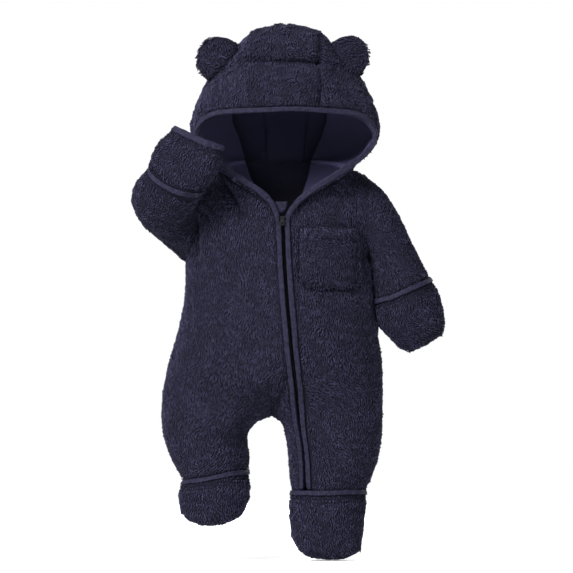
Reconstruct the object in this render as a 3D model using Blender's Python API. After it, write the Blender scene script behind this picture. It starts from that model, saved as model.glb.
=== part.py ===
"""Hooded fleece onesie for a small baby, filled out as if worn, with no wearer.

Tables are in millimetres and become metres when a piece is made. +Z is up, the
front of the garment faces -Y, and +X is the left sleeve's side. The origin is the
middle of the neck's base, where the wearer carries the garment.

The cloth is first laid out as one sheet, the outer face of the whole garment.
Each cut piece is then taken from that sheet and given its thickness inwards, so
neighbours share their seam lines and stand a seam's gap apart.
"""

from math import cos, pi, sin, tau

import bmesh
import bpy
import numpy as np
from mathutils import Matrix, Vector
from mathutils.bvhtree import BVHTree

# ---------------------------------------------------------------- driving sizes
MM = 0.001
CLOTH = 3.4  # fleece with its pile, pressed flat
SEAM_PRESS = 0.6  # share of the cloth's thickness left in a seam's hollow
RUNS_ON = 0.8  # cosine: pieces that turn less than this run on into each other
SEAM_GAP = 0.3  # between two pieces at a seam
BIND_WIDTH = 6.0  # width of the folded binding on each face
HEM = 7.0  # depth of the cloth's row of points behind the hood's edge
BIND_CLOTH = 1.0  # thickness of one layer of binding
BIND_REST = 0.8  # clear of the cloth that it is folded over
ZIP_CHANNEL = 4.6  # between the two front bindings at the top
BAND_HEIGHT = 1.6  # how far a cuff's binding stands off its cloth

NECK_STEPS = 9  # front neckline, zip to shoulder seam
SHOULDER_STEPS = 2
NAPE_SIDE_STEPS = 5  # back neckline, shoulder seam to centre panel
NAPE_STEPS = 4  # back neckline under the hood's centre panel
HOOD_ROWS = NECK_STEPS + NAPE_SIDE_STEPS
HOOD_SIDE_STEPS = 11  # from the neckline to the centre panel's seam
FRONT_STEPS = NECK_STEPS + SHOULDER_STEPS
BACK_STEPS = 2 * (SHOULDER_STEPS + NAPE_SIDE_STEPS) + NAPE_STEPS
ARM_STEPS = 20  # points round a sleeve
YOKE_ROWS = ARM_STEPS // 2
TRUNK_ROWS = 9  # from the armpits to the crotch
CROTCH_COLUMN = 2  # columns from the zip to the crotch's front
CROTCH_STEPS = 3  # from the crotch's front to its middle

# The trunk below the arms: level, side reaches, front and back reaches.
TRUNK = [  # z, right_side, left_side, front, back
    (-93, -119, 101, -64, 54),
    (-112, -120, 102, -68, 57),
    (-134, -121, 104.5, -72, 59),
    (-158, -125, 108.5, -75, 61),
    (-182, -130, 113, -76, 63),
    (-206, -138, 116, -75, 64),
    (-230, -144, 116.5, -71, 64),
    (-252, -148, 116.5, -66, 63),
]
TRUNK_POWER = 2.25  # roundness of a trunk section: 2 is an ellipse

ZIP_LINE = [  # z, x
    (-42, -3),
    (-93, 0),
    (-138, 2.5),
    (-186, 7),
    (-234, 12),
    (-270, 16),
    (-306, 20),
    (-366, 23),
]

# Neckline from the zip round the left shoulder to the middle of the nape. The
# other side is its mirror image about the line that slides from the zip to x = 0.
NECKLINE = [  # x, y, z
    (0, -58, -42),
    (12, -58, -27),
    (24, -57, -17),
    (40, -54, -6),
    (55, -46, 4),
    (68, -30, 13),
    (74, -6, 21),
    (68, 20, 26),
    (50, 38, 29),
    (22, 47, 30),
    (0, 49, 31),
]
NECK_SIDE = 6  # row of NECKLINE at the shoulder seam
NAPE_CORNER = 9  # row of NECKLINE at the centre panel's seam

# Hood sections from the face opening to the nape, left half. Each starts on the
# neckline and runs over the widest point and the centre panel's seam to the top.
HOOD = [  # row, low, mid, wide, high, seam, top
    (0.0, (25, -67, -14), (66, -66, 13), (111, -56, 56), (98, -62, 77), (42, -76, 85), (0, -80, 87)),
    (1.0, (44, -61, 1), (84, -52, 27), (114, -43, 60), (103, -53, 85), (42, -77, 97), (0, -83, 99)),
    (2.3, (64, -48, 13), (93, -38, 34), (114, -27, 65), (104, -39, 97), (42, -70, 122), (0, -78, 126)),
    (3.6, (74, -35, 20), (97, -24, 40), (112, -12, 68), (100, -22, 110), (41, -50, 140), (0, -58, 145)),
    (5.0, (80, -20, 24), (98, -9, 42), (110, 4, 70), (96, -5, 122), (41, -30, 169), (0, -37, 176)),
    (7.5, (82, -3, 27), (98, 8, 44), (108, 22, 72), (92, 20, 129), (40, 10, 187), (0, 6, 197)),
    (9.7, (78, 22, 29), (92, 36, 43), (98, 50, 70), (80, 60, 120), (37, 60, 166), (0, 58, 180)),
    (11.5, (64, 40, 29), (74, 56, 40), (76, 70, 60), (62, 84, 92), (32, 93, 120), (0, 96, 130)),
    (13.0, (40, 50, 30), (44, 62, 36), (44, 72, 46), (38, 80, 60), (26, 84, 72), (0, 88, 78)),
]

HOOD_LIP = (6, 4.5, 2)  # how far it stands out over the neckline, point by point

# Sleeves and legs: the two side points of each section, its mid depth and its
# half depth. "Out" is the side that shows as the outline.
LEFT_SLEEVE = [  # out_x, out_z, in_x, in_z, out_y, in_y, half_depth
    (94, 13, 101, -93, 2, 0, 40),
    (112, 2, 107, -99, 0, -1, 40),
    (128, -20, 109, -107, -3, -2, 38),
    (144, -48, 110.5, -116, -6, -5, 35),
    (158, -79, 112, -127, -9, -8, 33),
    (173, -110, 113.5, -139, -12, -11, 31),
]
LEFT_MITTEN = [
    (173, -110, 113.5, -139, -12, -11, 31),
    (184, -127, 113.5, -153, -14, -13, 33),
    (191, -149, 118, -168, -15, -14, 28),
    (193, -166, 125, -182, -16, -15, 21),
    (190, -178, 135, -194, -17, -16, 12.5),
    (176, -186, 148, -199.5, -17, -17, 5.5),
]
RIGHT_SLEEVE = [
    (-119, -93, -94, 12, 0, 2, 40),
    (-140, -77, -107, 3, -9, -11, 35),
    (-160, -58, -115, -9, -22, -29, 32),
    (-177, -36, -115, -18, -35, -45, 31),
    (-184, -15, -110, -22, -49, -59, 30),
    (-178, 4, -102, -17, -60, -69, 30),
    (-161, 18, -97, -10, -74, -80, 28),
]
BEND_ROWS = 3  # sections over which the bent sleeve leaves the armhole's plane
BEND_TURNS = np.radians(np.arange(-60, 61, 3))  # tried to line each section up
RIGHT_MITTEN = [
    (-161, 18, -97, -10, -74, -80, 28),
    (-158.5, 37, -85, 6, -84, -90, 25),
    (-150, 50, -76, 24, -92, -98, 18.5),
    (-131, 66, -74, 40, -98, -104, 9.5),
]
RIGHT_LEG = [
    (-148, -268, -36, -284, 0, 0, 62),
    (-147.5, -288, -46, -297, 0, 0, 55),
    (-144, -306, -46, -309, -1, -1, 49),
    (-139, -323, -43, -324, -2, -2, 46),
    (-131, -339, -43, -335, -4, -4, 44),
    (-121, -355, -45, -341, -7, -7, 38),
]
RIGHT_FOOT = [
    (-121, -355, -45, -341, -7, -7, 38),
    (-128, -366, -42, -356, -11, -11, 41),
    (-127.5, -380, -42, -372, -17, -17, 39),
    (-126, -391, -46, -386, -25, -25, 32),
    (-118, -400, -55, -397, -33, -33, 22),
    (-104, -406.5, -70, -405, -40, -40, 10),
]
LEFT_LEG = [
    (116.5, -272, -3, -285, 0, 0, 62),
    (115.5, -294, 2, -302, 0, 0, 56),
    (114, -314, 3.5, -318, 0, 0, 52),
    (110, -334, 5, -336, 0, 0, 48),
    (104, -351, 6, -352, 0, 0, 44),
    (97, -366, 9, -367, 0, 0, 39),
]
LEFT_FOOT = [
    (97, -366, 9, -367, 0, 0, 39),
    (99, -380, 5, -381, -2, -2, 40),
    (96, -402, 6, -402, -6, -6, 38),
    (94, -422, 7.5, -422, -11, -11, 33),
    (91, -437, 14, -437, -16, -16, 25),
    (76, -448, 29, -448, -20, -20, 10),
]
TUBE_POWER = 2.1
RELAXED = ("front_left", "front_right", "back")
RELAX_PASSES = 30
RELAX_SHARE = 0.5
RELAX_CLEAR = (-238, -118)  # levels between which the trunk keeps its drawn depth
CROTCH_DEPTH = -277  # level of the crotch's middle

# Folds of the cloth: a soft line pressed in (or raised, where depth is negative).
FOLDS = [  # x0, z0, x1, z1, y0, y1, half_width, depth
    (-40, 144, 42, 144, -90, -20, 7, 5.0),  # between the ears
    (-75, 8, -50, -36, -90, -20, 9, 4.0),  # from the raised arm
    (-62, -6, -34, -44, -90, -20, 8, -3.0),
    (-12, -262, 2, -232, -90, -20, 10, 2.0),  # up from the crotch
    (-120, -378, -86, -380, -90, 0, 5, 3.0),  # across the right foot
    (-60, -98, -112, -150, -90, -20, 12, 2.5),
    (50, -150, 106, -178, -90, -20, 12, 2.5),
    (-110, -235, -50, -262, -90, -20, 12, 3.0),
    (-70, -60, 66, -66, 20, 90, 11, 3.5),  # across the back
    (-96, -150, -20, -176, 20, 90, 12, 3.0),
    (20, -172, 96, -146, 20, 90, 12, 3.0),
    (-60, -252, 40, -252, 20, 90, 12, 4.0),  # under the seat
    (-132, -318, -70, -326, 10, 90, 8, 3.0),
    (40, -322, 104, -316, 10, 90, 8, 3.0),
]

POCKET = dict(left=19, right=84.5, top=-53, bottom=-122, corner=13, hem=13)
POCKET_STEPS = 8
POCKET_PUFF = 3.4
POCKET_REST = 0.7  # clear of the facets that it lies over

EARS = [  # side, centre_x, centre_y, centre_z, lean in degrees, radius, thickness
    ("right", -80, -14, 152, -32, 27, 17),
    ("left", 76, -14, 154, 30, 25.5, 16),
]
EAR_LEVELS = (0, 0.12, 0.27, 0.44, 0.62, 0.78, 0.9, 0.97)
EAR_BLEND = 12  # height over which an ear's base follows the hood
EAR_SEAT = 2  # clear of the hood, measured along the ear

GUARD = [(-12.4, -20.5), (2.6, -20.5), (2.6, -28.5), (-4.4, -35), (-7.6, -35)]  # x, z
GUARD_REAR = -58.2
GUARD_CLOTH = 1.4

TAPE_CLOTH = 0.8
TAPE_WIDTH = 8
TAPE_GAP = 1.6
TAPE_REST = 0.9  # clear of the binding that it is sewn to
CORNER_CLEAR = 1  # cut from each end of the hood's binding
FRONT_CLEAR = 6.5  # the front bindings start this far below the zip's top
TAPE_CLEAR = 6.5  # and so do the zip's tapes
FRONT_END = 1.8  # both end this far above the foot's seam
MITRE_LIMIT = 4

SLIDER = dict(
    width=5.6, height=7.0, blade=1.1, rear_width=3.2, throat=2.0, post=1.2, post_height=2.2,
    lug=1.0, lug_reach=3.1, lug_height=2.4, pin=1.0, forward=5.0, rise=0.5,
)
PULL = dict(width=4.6, length=9.5, thickness=1.0, neck=2.6, hole=1.2, eye_wall=0.6)
PIVOT_GAP = 0.3

COLOURS = dict(
    plush=(0.027, 0.026, 0.050),
    jersey=(0.052, 0.048, 0.080),
    tape=(0.020, 0.019, 0.034),
    metal=(0.16, 0.16, 0.17),
)


# ------------------------------------------------------------------ small maths
def spline(keys, values, at):
    """Smooth curve through values at keys, read at the positions given."""
    keys = np.asarray(keys, float)
    values = np.asarray(values, float)
    slopes = np.gradient(values, keys, axis=0)
    found = []
    for x in np.atleast_1d(at):
        i = int(np.clip(np.searchsorted(keys, x) - 1, 0, len(keys) - 2))
        h = keys[i + 1] - keys[i]
        s = (x - keys[i]) / h
        found.append(
            (2 * s**3 - 3 * s**2 + 1) * values[i]
            + (s**3 - 2 * s**2 + s) * h * slopes[i]
            + (3 * s**2 - 2 * s**3) * values[i + 1]
            + (s**3 - s**2) * h * slopes[i + 1]
        )
    return np.array(found)


def along(points, steps, start=0.0, end=1.0):
    """Points at even distances on the smooth curve through the ones given."""
    points = np.asarray(points, float)
    chords = np.linalg.norm(np.diff(points, axis=0), axis=1)
    keys = np.concatenate([[0], np.cumsum(chords)])
    return spline(keys, points, np.linspace(start, end, steps + 1) * keys[-1])


def unit(vector):
    length = np.linalg.norm(vector)
    return vector / length if length > 1e-9 else vector


def power(value, exponent):
    return np.sign(value) * abs(value) ** exponent


# ------------------------------------------------------------ sections as rings
def zip_x(z):
    levels = [-row[0] for row in ZIP_LINE]
    return float(spline(levels, [row[1] for row in ZIP_LINE], -z)[0])


def neckline(side):
    """Neckline points from the zip to the nape's corner, then to its middle."""
    table = np.array(NECKLINE, float)
    front = along(table[: NECK_SIDE + 1], NECK_STEPS)
    rear = along(table[NECK_SIDE : NAPE_CORNER + 1], NAPE_SIDE_STEPS)
    nape = along(table[NAPE_CORNER:], NAPE_STEPS // 2)
    points = np.concatenate([front, rear[1:], nape[1:]])
    toward_zip = np.clip(1 - np.arange(len(points)) / NECK_STEPS, 0, 1)
    points[:, 0] = side * points[:, 0] + zip_x(-42) * toward_zip
    return points


def side_ring(row, angles):
    """A sleeve's or leg's section: out point first, then round by the front."""
    out_x, out_z, in_x, in_z, out_y, in_y, half_depth = row
    out = np.array([out_x, out_y, out_z], float)
    inner = np.array([in_x, in_y, in_z], float)
    deep = np.array([0, -half_depth, 0], float)
    return oval((out + inner) / 2, (out - inner) / 2, deep, angles)


def oval(middle, wide, deep, angles):
    return np.array([
        middle
        + power(cos(angle), 2 / TUBE_POWER) * wide
        + power(sin(angle), 2 / TUBE_POWER) * deep
        for angle in angles
    ])


def bent_rings(table, angles):
    """Sections of the bent sleeve, square to its own run and turned to match."""
    middles = [
        np.array([(r[0] + r[2]) / 2, (r[4] + r[5]) / 2, (r[1] + r[3]) / 2]) for r in table
    ]
    rings = []
    for index, row in enumerate(table):
        before = middles[max(index - 1, 0)]
        after = middles[min(index + 1, len(middles) - 1)]
        wide = np.array([row[0] - row[2], row[4] - row[5], row[1] - row[3]]) / 2
        deep = unit(np.cross(after - before, wide))
        if deep[1] > 0:
            deep = -deep
        lean = min(1, index / BEND_ROWS)
        deep = row[6] * unit(lean * deep + (1 - lean) * np.array([0, -1, 0]))
        if rings:
            turned = [(oval(middles[index], wide, deep, angles + t), t) for t in BEND_TURNS]
            nearest = min(turned, key=lambda pair: np.sum((pair[0] - rings[-1]) ** 2))
            angles = angles + nearest[1]
        rings.append(oval(middles[index], wide, deep, angles))
    return rings


def trunk_point(row, turn):
    """A point of a trunk section. Turns: 0 is the front, 0.25 the left side."""
    z, right_side, left_side, front, back = row
    sine, cosine = sin(tau * turn), cos(tau * turn)
    half = (left_side - right_side) / 2
    reach = -front if cosine > 0 else back
    x = (right_side + left_side) / 2 + half * power(sine, 2 / TRUNK_POWER)
    return np.array([x, -reach * power(cosine, 2 / TRUNK_POWER), z])


def trunk_arc(row, start, end, steps):
    return np.array([trunk_point(row, turn) for turn in np.linspace(start, end, steps + 1)])


def crotch_bridge(front, back):
    """The crotch's seam, hung under the trunk from its front to its back."""
    points = []
    for step in range(2 * CROTCH_STEPS + 1):
        angle = pi * step / (2 * CROTCH_STEPS)
        share = step / (2 * CROTCH_STEPS)
        point = (1 - share) * front + share * back
        depth = front if angle < pi / 2 else back
        point[1] = abs(depth[1]) * -cos(angle)
        point[2] += (CROTCH_DEPTH - point[2]) * sin(angle) ** 0.7
        points.append(point)
    points[0], points[-1] = front, back
    return np.array(points)


def zip_turn(row):
    """Where on a trunk section the zip runs."""
    middle = (row[1] + row[2]) / 2
    half = (row[2] - row[1]) / 2
    offset = power((zip_x(row[0]) - middle) / half, TRUNK_POWER / 2)
    return float(np.arcsin(offset) / tau)


# ---------------------------------------------------------------- the one sheet
class Sheet:
    """The garment's outer face. Every face belongs to a named piece."""

    def __init__(self):
        self.points = []
        self.found = {}
        self.faces = []
        self.cloth = {}  # by piece: the two faces' points over each sheet point

    def vertex(self, point):
        key = tuple(round(float(c), 4) for c in point)
        if key not in self.found:
            self.found[key] = len(self.points)
            self.points.append(np.array(point, float))
        return self.found[key]

    def face(self, piece, corners):
        ids = []
        for point in corners:
            index = self.vertex(point)
            if index not in ids:
                ids.append(index)
        if len(ids) > 2:
            self.faces.append((piece, tuple(ids)))

    def grid(self, piece, rows, closed=False):
        for upper, lower in zip(rows[:-1], rows[1:]):
            count = len(upper)
            for i in range(count if closed else count - 1):
                j = (i + 1) % count
                self.face(piece, (upper[i], upper[j], lower[j], lower[i]))

    def settle(self):
        """Turns all faces outwards and finds the direction out of each point."""
        work = bmesh.new()
        verts = [work.verts.new(p) for p in self.points]
        for _, ids in self.faces:
            work.faces.new([verts[i] for i in ids])
        bmesh.ops.recalc_face_normals(work, faces=work.faces[:])
        work.faces.ensure_lookup_table()
        back = [f for f in work.faces if abs(f.calc_center_median().x) < 40
                and f.calc_center_median().y > 40]
        outward = sum(f.normal.y for f in back) > 0
        self.faces = [
            (piece, tuple(v.index for v in (f.verts if outward else reversed(f.verts[:]))))
            for (piece, _), f in zip(self.faces, work.faces)
        ]
        self.face_normals = [np.array(f.normal) * (1 if outward else -1) for f in work.faces]
        self.areas = [f.calc_area() for f in work.faces]
        work.free()
        self.normals = np.zeros((len(self.points), 3))
        for (_, ids), normal, area in zip(self.faces, self.face_normals, self.areas):
            for i in ids:
                self.normals[i] += normal * area
        self.normals = np.array([unit(n) for n in self.normals])

    def fold(self):
        """Presses the folds in along each point's own direction."""
        self.settle()
        for index, point in enumerate(self.points):
            for x0, z0, x1, z1, y0, y1, half_width, depth in FOLDS:
                if not y0 < point[1] < y1:
                    continue
                start = np.array([x0, z0], float)
                run = np.array([x1 - x0, z1 - z0], float)
                here = np.array([point[0], point[2]])
                t = float(np.clip(np.dot(here - start, run) / np.dot(run, run), 0, 1))
                away = np.linalg.norm(here - start - t * run)
                taper = 0.35 + 0.65 * sin(pi * t)
                press = depth * taper * np.exp(-((away / half_width) ** 2))
                self.points[index] = self.points[index] - press * self.normals[index]
        self.settle()

    def relax(self, held):
        """Evens out the depth of the fronts and the back, between lines held."""
        links = {}
        for piece, ids in self.faces:
            if piece in RELAXED:
                for a, b in zip(ids, ids[1:] + ids[:1]):
                    links.setdefault(a, set()).add(b)
                    links.setdefault(b, set()).add(a)
        depth = np.array([point[1] for point in self.points])
        for _ in range(RELAX_PASSES):
            mean = depth.copy()
            for index, near in links.items():
                if index not in held:
                    mean[index] = sum(depth[n] for n in near) / len(near)
            depth += RELAX_SHARE * (mean - depth)
        for index, point in enumerate(self.points):
            point[1] = depth[index]

    def hollow(self, index, name):
        """The named piece's own direction out at a point where a seam lies in a
        hollow, shared with any piece that runs on from it. None elsewhere."""
        facing, reach = {}, {}
        for (piece, ids), normal in zip(self.faces, self.face_normals):
            if index in ids:
                middle = np.mean([self.points[i] for i in ids], axis=0)
                facing[piece] = facing.get(piece, 0) + normal
                reach[piece] = reach.get(piece, 0) + middle - self.points[index]
        facing = {piece: unit(normal) for piece, normal in facing.items()}
        alike = [piece for piece in facing if np.dot(facing[piece], facing[name]) > RUNS_ON]
        others = sum((facing[piece] for piece in facing if piece not in alike), np.zeros(3))
        if np.dot(sum(reach[piece] for piece in alike), others) > 0:
            return unit(sum(facing[piece] for piece in alike))
        return None

    def tree(self, pieces):
        faces = [ids for piece, ids in self.faces if piece in pieces]
        return BVHTree.FromPolygons([Vector(p) for p in self.points], faces)


def coons(top, bottom, start, end):
    """Rows of a patch that meets the four edges given."""
    rows = []
    last_row, last_column = len(start) - 1, len(top) - 1
    for r in range(last_row + 1):
        v = r / last_row
        row = []
        for c in range(last_column + 1):
            u = c / last_column
            corners = (
                (1 - u) * (1 - v) * top[0] + u * (1 - v) * top[-1]
                + (1 - u) * v * bottom[0] + u * v * bottom[-1]
            )
            row.append(
                (1 - v) * top[c] + v * bottom[c] + (1 - u) * start[r] + u * end[r] - corners
            )
        rows.append(row)
    return rows


# ------------------------------------------------------- laying the garment out
def lay_trunk(sheet, armholes, necks):
    """Fronts and back down to the crotch. Returns the last sections' parts."""
    first = TRUNK[0]
    zip_levels = np.linspace(necks["left"][0][2], first[0], YOKE_ROWS + 1)
    zip_start = necks["left"][0][1]
    meeting = zip_turn(first)
    side_turn = dict(left=0.25, right=-0.25)
    fronts = {}
    for side in ("left", "right"):
        neck, armhole = necks[side], armholes[side]
        shoulder = along([neck[NECK_STEPS], armhole["front"][0]], SHOULDER_STEPS)
        top = np.concatenate([neck[: NECK_STEPS + 1], shoulder[1:]])
        bottom = trunk_arc(first, meeting, side_turn[side], FRONT_STEPS)
        zip_edge = [
            np.array([zip_x(z), y, z])
            for z, y in zip(zip_levels, np.linspace(zip_start, bottom[0][1], YOKE_ROWS + 1))
        ]
        zip_edge[0], zip_edge[-1] = neck[0], bottom[0]
        rows = coons(top, bottom, zip_edge, armhole["front"])
        sheet.grid("front_" + side, rows)
        fronts[side] = rows

    across = np.concatenate([
        along([armholes["left"]["back"][0], necks["left"][NECK_STEPS]], SHOULDER_STEPS),
        necks["left"][NECK_STEPS + 1 :],
        necks["right"][-2:NECK_STEPS:-1],
        along([necks["right"][NECK_STEPS], armholes["right"]["back"][0]], SHOULDER_STEPS),
    ])
    bottom = trunk_arc(first, 0.25, 0.75, BACK_STEPS)
    rows = coons(across, bottom, armholes["left"]["back"], armholes["right"]["back"])
    sheet.grid("back", rows)

    levels = [-row[0] for row in TRUNK]
    reaches = spline(levels, TRUNK, np.linspace(levels[0], levels[-1], TRUNK_ROWS + 1))
    reaches[0], reaches[-1] = TRUNK[0], TRUNK[-1]
    lines = dict(left=[], right=[], back=[])
    for step, row in enumerate(reaches):
        meeting = zip_turn(row)
        share = step / TRUNK_ROWS
        lines["left"].append(trunk_arc(row, meeting, 0.25, FRONT_STEPS))
        even = np.linspace(meeting, -0.25, FRONT_STEPS + 1)
        crotch = np.concatenate([
            np.linspace(meeting, 0, CROTCH_COLUMN + 1),
            np.linspace(0, -0.25, FRONT_STEPS - CROTCH_COLUMN + 1)[1:],
        ])
        turns = (1 - share) * even + share * crotch
        lines["right"].append(np.array([trunk_point(row, turn) for turn in turns]))
        lines["back"].append(trunk_arc(row, 0.25, 0.75, BACK_STEPS))
    sheet.grid("front_left", lines["left"])
    sheet.grid("front_right", lines["right"])
    sheet.grid("back", lines["back"])
    left = fronts["left"] + lines["left"][1:]
    right = fronts["right"] + lines["right"][1:]
    pairs = [(a[0], a[1], b[1]) for a, b in zip(left, right)]
    return {name: rows[-1] for name, rows in lines.items()}, pairs


def lay_leg(sheet, names, table, first, splits, zip_index=None):
    """One leg's sections below the crotch. The splits are its seams' columns."""
    inner = splits[-2]
    rings = [first]
    for row in table:
        turns = half_turns(len(first), inner)
        if zip_index:
            half = (row[0] - row[2]) / 2
            level = (row[1] + row[3]) / 2
            reach = (zip_x(level) - (row[0] + row[2]) / 2) / half
            meeting = float(np.arccos(power(np.clip(reach, -1, 1), TUBE_POWER / 2)))
            turns[: zip_index + 1] = np.linspace(0, meeting, zip_index + 1)
            turns[zip_index : inner + 1] = np.linspace(meeting, pi, inner - zip_index + 1)
        ring = side_ring(row, turns)
        if len(rings) == 1:
            rings.append((first + ring) / 2)
        rings.append(ring)
    for start, end, name in zip(splits[:-1], splits[1:], names):
        columns = [i % len(first) for i in range(start, end + 1)]
        sheet.grid(name, [ring[columns] for ring in rings])
    return rings


def half_turns(count, inner):
    """Angles of a section whose inner point is the column given."""
    front = np.linspace(0, pi, inner + 1)[:-1]
    return np.concatenate([front, np.linspace(pi, tau, count - inner + 1)[:-1]])


def lay_pouch(sheet, name, first, table, inner, tip_reach):
    """A closed end, such as a mitten or a foot, from its seam to its tip."""
    count = len(first)
    rings = [first] + [side_ring(row, half_turns(count, inner)) for row in table[1:]]
    sheet.grid(name, rings, closed=True)
    last, before = rings[-1].mean(axis=0), rings[-2].mean(axis=0)
    tip = last + unit(last - before) * tip_reach
    for i in range(count):
        sheet.face(name, (rings[-1][i], rings[-1][(i + 1) % count], tip))
    return rings


def hem_row(edge, row):
    """A row of points close behind an edge, just past where a binding ends."""
    runs = np.gradient(edge, axis=0)
    hem = [edge[0]]
    for start, end, run in zip(edge[1:], row[1:], runs[1:]):
        across = end - start
        square = across - np.dot(across, unit(run)) * unit(run)
        share = min(HEM / np.linalg.norm(square), 0.6)
        hem.append(start + share * across)
    return np.array(hem)


def lay_hood(sheet, necks):
    """Two sides and a centre panel over the head. Returns the face opening."""
    keys = [row[0] for row in HOOD] + [HOOD_ROWS]
    sides = {}
    for side, sign in (("left", 1), ("right", -1)):
        neck = necks[side]
        corner = tuple(neck[HOOD_ROWS])
        rows = []
        for v in range(HOOD_ROWS):
            stations = [neck[v]]
            for station in range(1, 6):
                values = [tuple(np.multiply(row[station], (sign, 1, 1))) for row in HOOD]
                stations.append(spline(keys, values + [corner], v)[0])
            row = along(stations, HOOD_SIDE_STEPS)
            for step, reach in enumerate(HOOD_LIP, 1):
                row[step] += reach * min(1, v / 2) * unit(row[step] * (1, 1, 0))
            rows.append(row)
        rows[0][0] = rows[1][0]  # its corner stops short of the zip
        rows.insert(1, hem_row(rows[0], rows[1]))
        rows.append(np.array([corner] * (HOOD_SIDE_STEPS + 1)))
        sheet.grid("hood_side_" + side, rows)
        sides[side] = rows
    tops = [row[6] for row in HOOD] + [NECKLINE[-1]]
    centre = []
    for v in range(HOOD_ROWS):
        top = spline(keys, tops, v)[0]
        row = v + 1 if v else 0
        centre.append(along([sides["left"][row][-1], top, sides["right"][row][-1]], NAPE_STEPS))
    centre.insert(1, hem_row(centre[0], centre[1]))
    centre[1][0], centre[1][-1] = sides["left"][1][-1], sides["right"][1][-1]
    nape = np.concatenate([necks["left"][HOOD_ROWS:], necks["right"][-2 : HOOD_ROWS - 1 : -1]])
    sheet.grid("hood_centre", centre + [nape])
    return sides, centre


def lay_out():
    """Lays every shell piece on the sheet, and returns the edges to be bound."""
    sheet = Sheet()
    half = ARM_STEPS // 2
    even = tau * np.arange(ARM_STEPS) / ARM_STEPS
    left_arm = [side_ring(row, even) for row in LEFT_SLEEVE]
    bent = bent_rings(RIGHT_SLEEVE + RIGHT_MITTEN[1:], even)
    right_arm = bent[: len(RIGHT_SLEEVE)]
    flap = bent[len(RIGHT_SLEEVE) - 1 :]
    around = list(range(ARM_STEPS)) + [0]
    armholes = dict(
        left=dict(
            front=left_arm[0][: half + 1],
            back=left_arm[0][[-i % ARM_STEPS for i in range(half + 1)]],
        ),
        right=dict(
            front=right_arm[0][half::-1],
            back=right_arm[0][around[half:]],
        ),
    )
    sheet.grid("sleeve_left", left_arm, closed=True)
    sheet.grid("sleeve_right", right_arm, closed=True)
    sheet.grid("mitten_right", flap, closed=True)
    mitten = lay_pouch(sheet, "mitten_left", left_arm[-1], LEFT_MITTEN, half, 2.0)

    necks = dict(left=neckline(1), right=neckline(-1))
    ends, zip_pairs = lay_trunk(sheet, armholes, necks)
    front_left, front_right, back = ends["left"], ends["right"], ends["back"]
    bridge = crotch_bridge(front_right[CROTCH_COLUMN], back[BACK_STEPS // 2])
    right_first = np.concatenate([
        front_right[:CROTCH_COLUMN:-1], bridge, back[BACK_STEPS // 2 + 1 : -1],
    ])
    left_first = np.concatenate([
        front_left[::-1], front_right[1:CROTCH_COLUMN], bridge, back[BACK_STEPS // 2 - 1 : 0 : -1],
    ])
    inner_right = FRONT_STEPS - CROTCH_COLUMN + CROTCH_STEPS
    inner_left = FRONT_STEPS + CROTCH_COLUMN + CROTCH_STEPS
    right_leg = lay_leg(
        sheet, ("front_right", "back"), RIGHT_LEG, right_first,
        (0, inner_right, len(right_first)),
    )
    left_leg = lay_leg(
        sheet, ("front_left", "front_right", "back"), LEFT_LEG, left_first,
        (0, FRONT_STEPS, inner_left, len(left_first)), FRONT_STEPS,
    )
    for ring in left_leg[1:]:
        zip_pairs.append((ring[FRONT_STEPS], ring[FRONT_STEPS - 1], ring[FRONT_STEPS + 1]))
    foot_right = lay_pouch(sheet, "foot_right", right_leg[-1], RIGHT_FOOT, inner_right, 3.0)
    foot_left = lay_pouch(sheet, "foot_left", left_leg[-1], LEFT_FOOT, inner_left, 3.0)
    sides, centre = lay_hood(sheet, necks)

    def ids(points):
        return [sheet.vertex(point) for point in points]

    face_edge = [
        ids(np.concatenate([sides["left"][v][:-1], centre[v], sides["right"][v][-2::-1]]))
        for v in (0, 1)
    ]
    edges = dict(
        zip=ids([pair[0] for pair in zip_pairs]),
        zip_left=ids([pair[1] for pair in zip_pairs]),
        zip_right=ids([pair[2] for pair in zip_pairs]),
        face=face_edge[0],
        face_next=face_edge[1],
        flap=ids(flap[-1]),
        flap_next=ids(flap[-2]),
        cuffs=dict(
            mitten_left=(ids(mitten[0]), ids(mitten[1])),
            mitten_right=(ids(flap[0]), ids(flap[1])),
            foot_left=(ids(foot_left[0]), ids(foot_left[1])),
            foot_right=(ids(foot_right[0]), ids(foot_right[1])),
        ),
    )
    held = set()
    for index in range(HOOD_ROWS + NAPE_STEPS // 2 + 1):
        held |= {sheet.vertex(neck[index]) for neck in necks.values()}
    for ring in (left_arm[0], right_arm[0], left_leg[-1], right_leg[-1]):
        held |= set(ids(ring))
    low, high = RELAX_CLEAR
    for index, point in enumerate(sheet.points):
        if abs(point[1]) < 1 or low < point[2] < high:
            held.add(index)
    for ring in left_leg[3:] + right_leg[3:]:
        held |= set(ids(ring))
    sheet.relax(held)
    sheet.fold()
    return sheet, edges


# ------------------------------------------------------------ turning it into cloth
def edge_gap(edges, a, b):
    """How far a piece stops short of the edge between two of the sheet's points."""
    wrapped = BIND_CLOTH + BIND_REST
    if a in edges["zip"] and b in edges["zip"]:
        return ZIP_CHANNEL / 2 + wrapped
    if (a in edges["face"] and b in edges["face"]) or (a in edges["flap"] and b in edges["flap"]):
        return wrapped
    return SEAM_GAP / 2


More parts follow.
